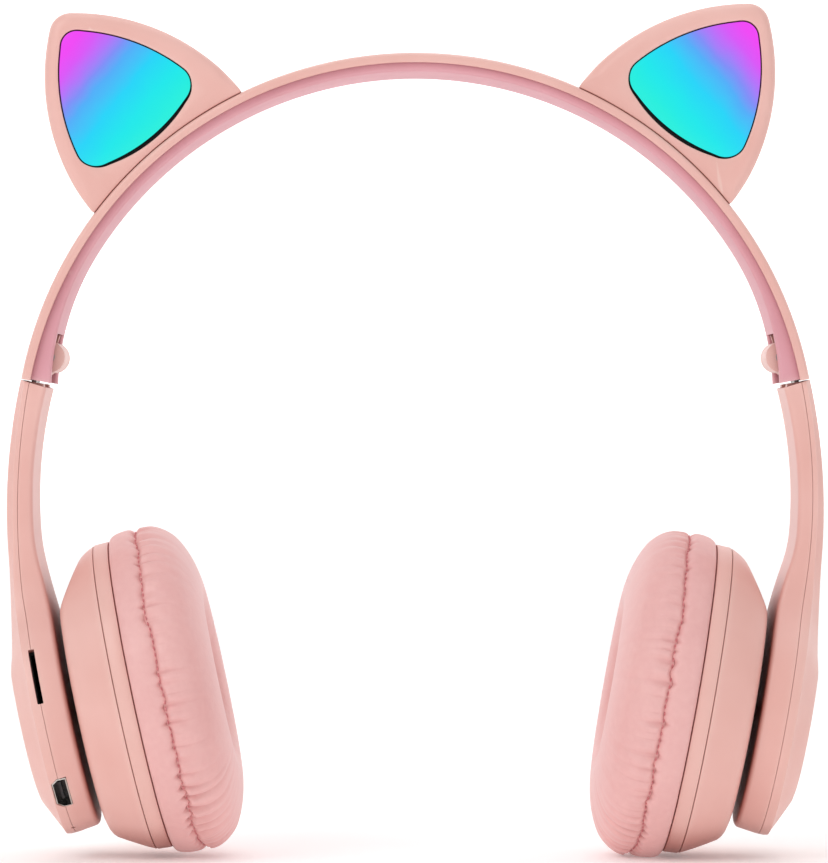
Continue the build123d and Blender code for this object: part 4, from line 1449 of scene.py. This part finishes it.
def usb_port():
    """The charging socket: a thin plated shell round a dark throat with its tongue."""
    turn = math.radians(USB_ANGLE)
    out = Vector((math.cos(turn), math.sin(turn)))
    beside = Vector((-out.y, out.x))
    mouth = divided(rounded(USB_MOUTH, 0.35, 4), 0.25)
    wide = inset(mouth, 0.10)
    narrow = inset(mouth, 0.36)
    if Vector(wide[0]).length > Vector(mouth[0]).length:
        wide, narrow = inset(mouth, -0.10), inset(mouth, -0.36)

    def ring(path, radius):
        return [in_cup("r", *(out * radius + beside * p.y), DISC_SEAM + p.x) for p in path]

    count = len(mouth)
    points = ring(wide, 21.5) + ring(wide, 25.85) + ring(narrow, 25.95) + ring(narrow, 21.5)
    piece("usb_shell", points, ring_faces(4, count), "arm_r", NICKEL, ["usb_socket"])
    points = ring(narrow, 21.6) + ring(narrow, 23.4)
    piece("usb_throat", points, capped(2, count), "arm_r", NYLON)
    tongue = [Vector(p) for p in rectangle(0.55, 4.8, 0.1)]
    points = ring(tongue, 23.0) + ring(tongue, 25.0)
    piece("usb_tongue", points, capped(2, len(tongue)), "arm_r", NYLON)


# ------------------------------------------------------------------ materials on the CAD nodes
CAD_MATERIALS = {
    "hinge_bracket": SHELL,
    "slider_knuckle": SHELL,
    "slider_strip": STEEL,
    "slider_rivets": STEEL,
    "spring_strip": STEEL,
    "hinge_pins": STEEL,
    "ear_screws": STEEL,
    "plate_screws": STEEL,
    "cup_screws": STEEL,
    "ball_stud": STEEL,
    "pivot_ring": NYLON,
    "pivot_retainer": NYLON,
    "driver": STEEL,
    "speaker_cloth": CLOTH,
    "led_wire": WIRE,
    "ear_led_board": BOARD,
    "main_board": BOARD,
    "usb_socket": NICKEL,
    "card_socket": NYLON,
    "aux_socket": NYLON,
    "microphone": NICKEL,
    "button_switches": NYLON,
    "battery": FILM,
    "button_back": SHELL,
    "button_play": SHELL,
    "button_forward": SHELL,
    "button_mode": SHELL,
    "headband_shell": SHELL,
    "headband_liner": LINER,
    "ear_housing": SHELL,
    "ear_back_cover": SHELL,
    "arm_outer_cover": SHELL,
    "arm_inner_cover": SHELL,
    "cup_housing": SHELL,
    "cup_front_ring": SHELL,
    "ear_cushion": LEATHER,
}


def dress_cad_nodes():
    """Give every carried-over CAD node its own finish."""
    for name, made in frame["nodes"].items():
        base = name[:-2] if name[-2:] in ("_r", "_l") else name
        material = LIT[name[-1]] if base == "ear_light_panel" else CAD_MATERIALS[base]
        made.data.materials.clear()
        made.data.materials.append(material)


# ------------------------------------------------------------------ studio
def studio():
    """A pale floor that sweeps up behind and is painted with a glow that grows up the sweep, large soft
    lights and an even white surround.
    """
    low = cad_box[0][2] - 0.2 * MM
    material, tree, place = begin("seamless_paper")
    tooth = add(tree, "ShaderNodeTexNoise", {"Vector": place, "Scale": per_metre(4), "Detail": 3.0})
    colour = ramp(tree, tooth.outputs["Fac"], [(0.3, "#fbfbfb"), (0.7, "#fdfdfd")])
    # The paper glows faintly on the floor and more strongly up the sweep: painted light that brightens the
    # backdrop and fades the shadow beneath the headphone.
    height = add(tree, "ShaderNodeSeparateXYZ", {"Vector": place}).outputs["Z"]
    lift = add(
        tree,
        "ShaderNodeMapRange",
        {"Value": height, "From Min": low, "From Max": low + 0.12, "To Min": 0.16, "To Max": 0.6},
    )
    paper = {"Base Color": colour, "Roughness": 0.9, "Emission Color": linear("#ffffff")}
    paper["Emission Strength"] = lift.outputs["Result"]
    end(tree, add(tree, "ShaderNodeBsdfPrincipled", paper))
    sweep = [(-3.0, low), (1.4, low)]
    sweep += [(1.4 + 0.8 * math.sin(t), low + 0.8 - 0.8 * math.cos(t)) for t in (0.2, 0.5, 0.8, 1.1, 1.4)]
    sweep += [(2.2, low + 0.8), (2.2, low + 3.5)]
    points = [(x, y, z) for y, z in sweep for x in (-4.0, 4.0)]
    faces = [(2 * k, 2 * k + 1, 2 * k + 3, 2 * k + 2) for k in range(len(sweep) - 1)]
    mesh = bpy.data.meshes.new("paper_sweep")
    mesh.from_pydata(points, [], faces)
    mesh.materials.append(material)
    mesh.shade_smooth()
    floor = bpy.data.objects.new("paper_sweep", mesh)
    bpy.context.scene.collection.objects.link(floor)

    world = bpy.data.worlds.new("white_room")
    bpy.context.scene.world = world
    world.use_nodes = True
    world.node_tree.nodes["Background"].inputs["Color"].default_value = (1.0, 1.0, 1.0, 1.0)
    world.node_tree.nodes["Background"].inputs["Strength"].default_value = 0.54

    middle = Vector((0, 0, (cad_box[0][2] + cad_box[1][2]) / 2))
    for name, place, size, power in (
        ("key", (-0.75, -0.95, 0.75), 0.7, 4.9),
        ("fill", (0.95, -0.85, 0.35), 0.9, 1.4),
        ("top", (0.0, 0.05, 1.1), 0.8, 2.7),
    ):
        light = bpy.data.lights.new(name, "AREA")
        light.shape = "SQUARE"
        light.size = size
        light.energy = power
        lamp = bpy.data.objects.new(name, light)
        bpy.context.scene.collection.objects.link(lamp)
        lamp.location = middle + Vector(place)
        lamp.rotation_euler = (-Vector(place)).to_track_quat("-Z", "Y").to_euler()


def camera():
    """A long lens, level with the middle of the headphone and straight in front of it."""
    distance = 1150.0
    seen = bpy.data.cameras.new("view")
    seen.sensor_width = 36.0
    seen.lens = 223.1
    seen.clip_end = 20.0
    eye = bpy.data.objects.new("view", seen)
    bpy.context.scene.collection.objects.link(eye)
    eye.location = (-0.28 * MM, -distance * MM, -76.6 * MM)
    eye.rotation_euler = (math.radians(90), 0, 0)
    bpy.context.scene.camera = eye
    bpy.context.scene.view_settings.view_transform = "Standard"


# ------------------------------------------------------------------ make it
camera()
studio()
dress_cad_nodes()
headband_shell()
headband_liner()
for side in SIDES:
    ear_housing(side)
    ear_back(side)
    ear_panel(side)
    cup_housing(side)
    cup_ring(side)
    creases, waves = ear_cushion(side)
    seam_stitches(side, waves)
    arm_covers(side)
    arm_collar(side)

usb_port()
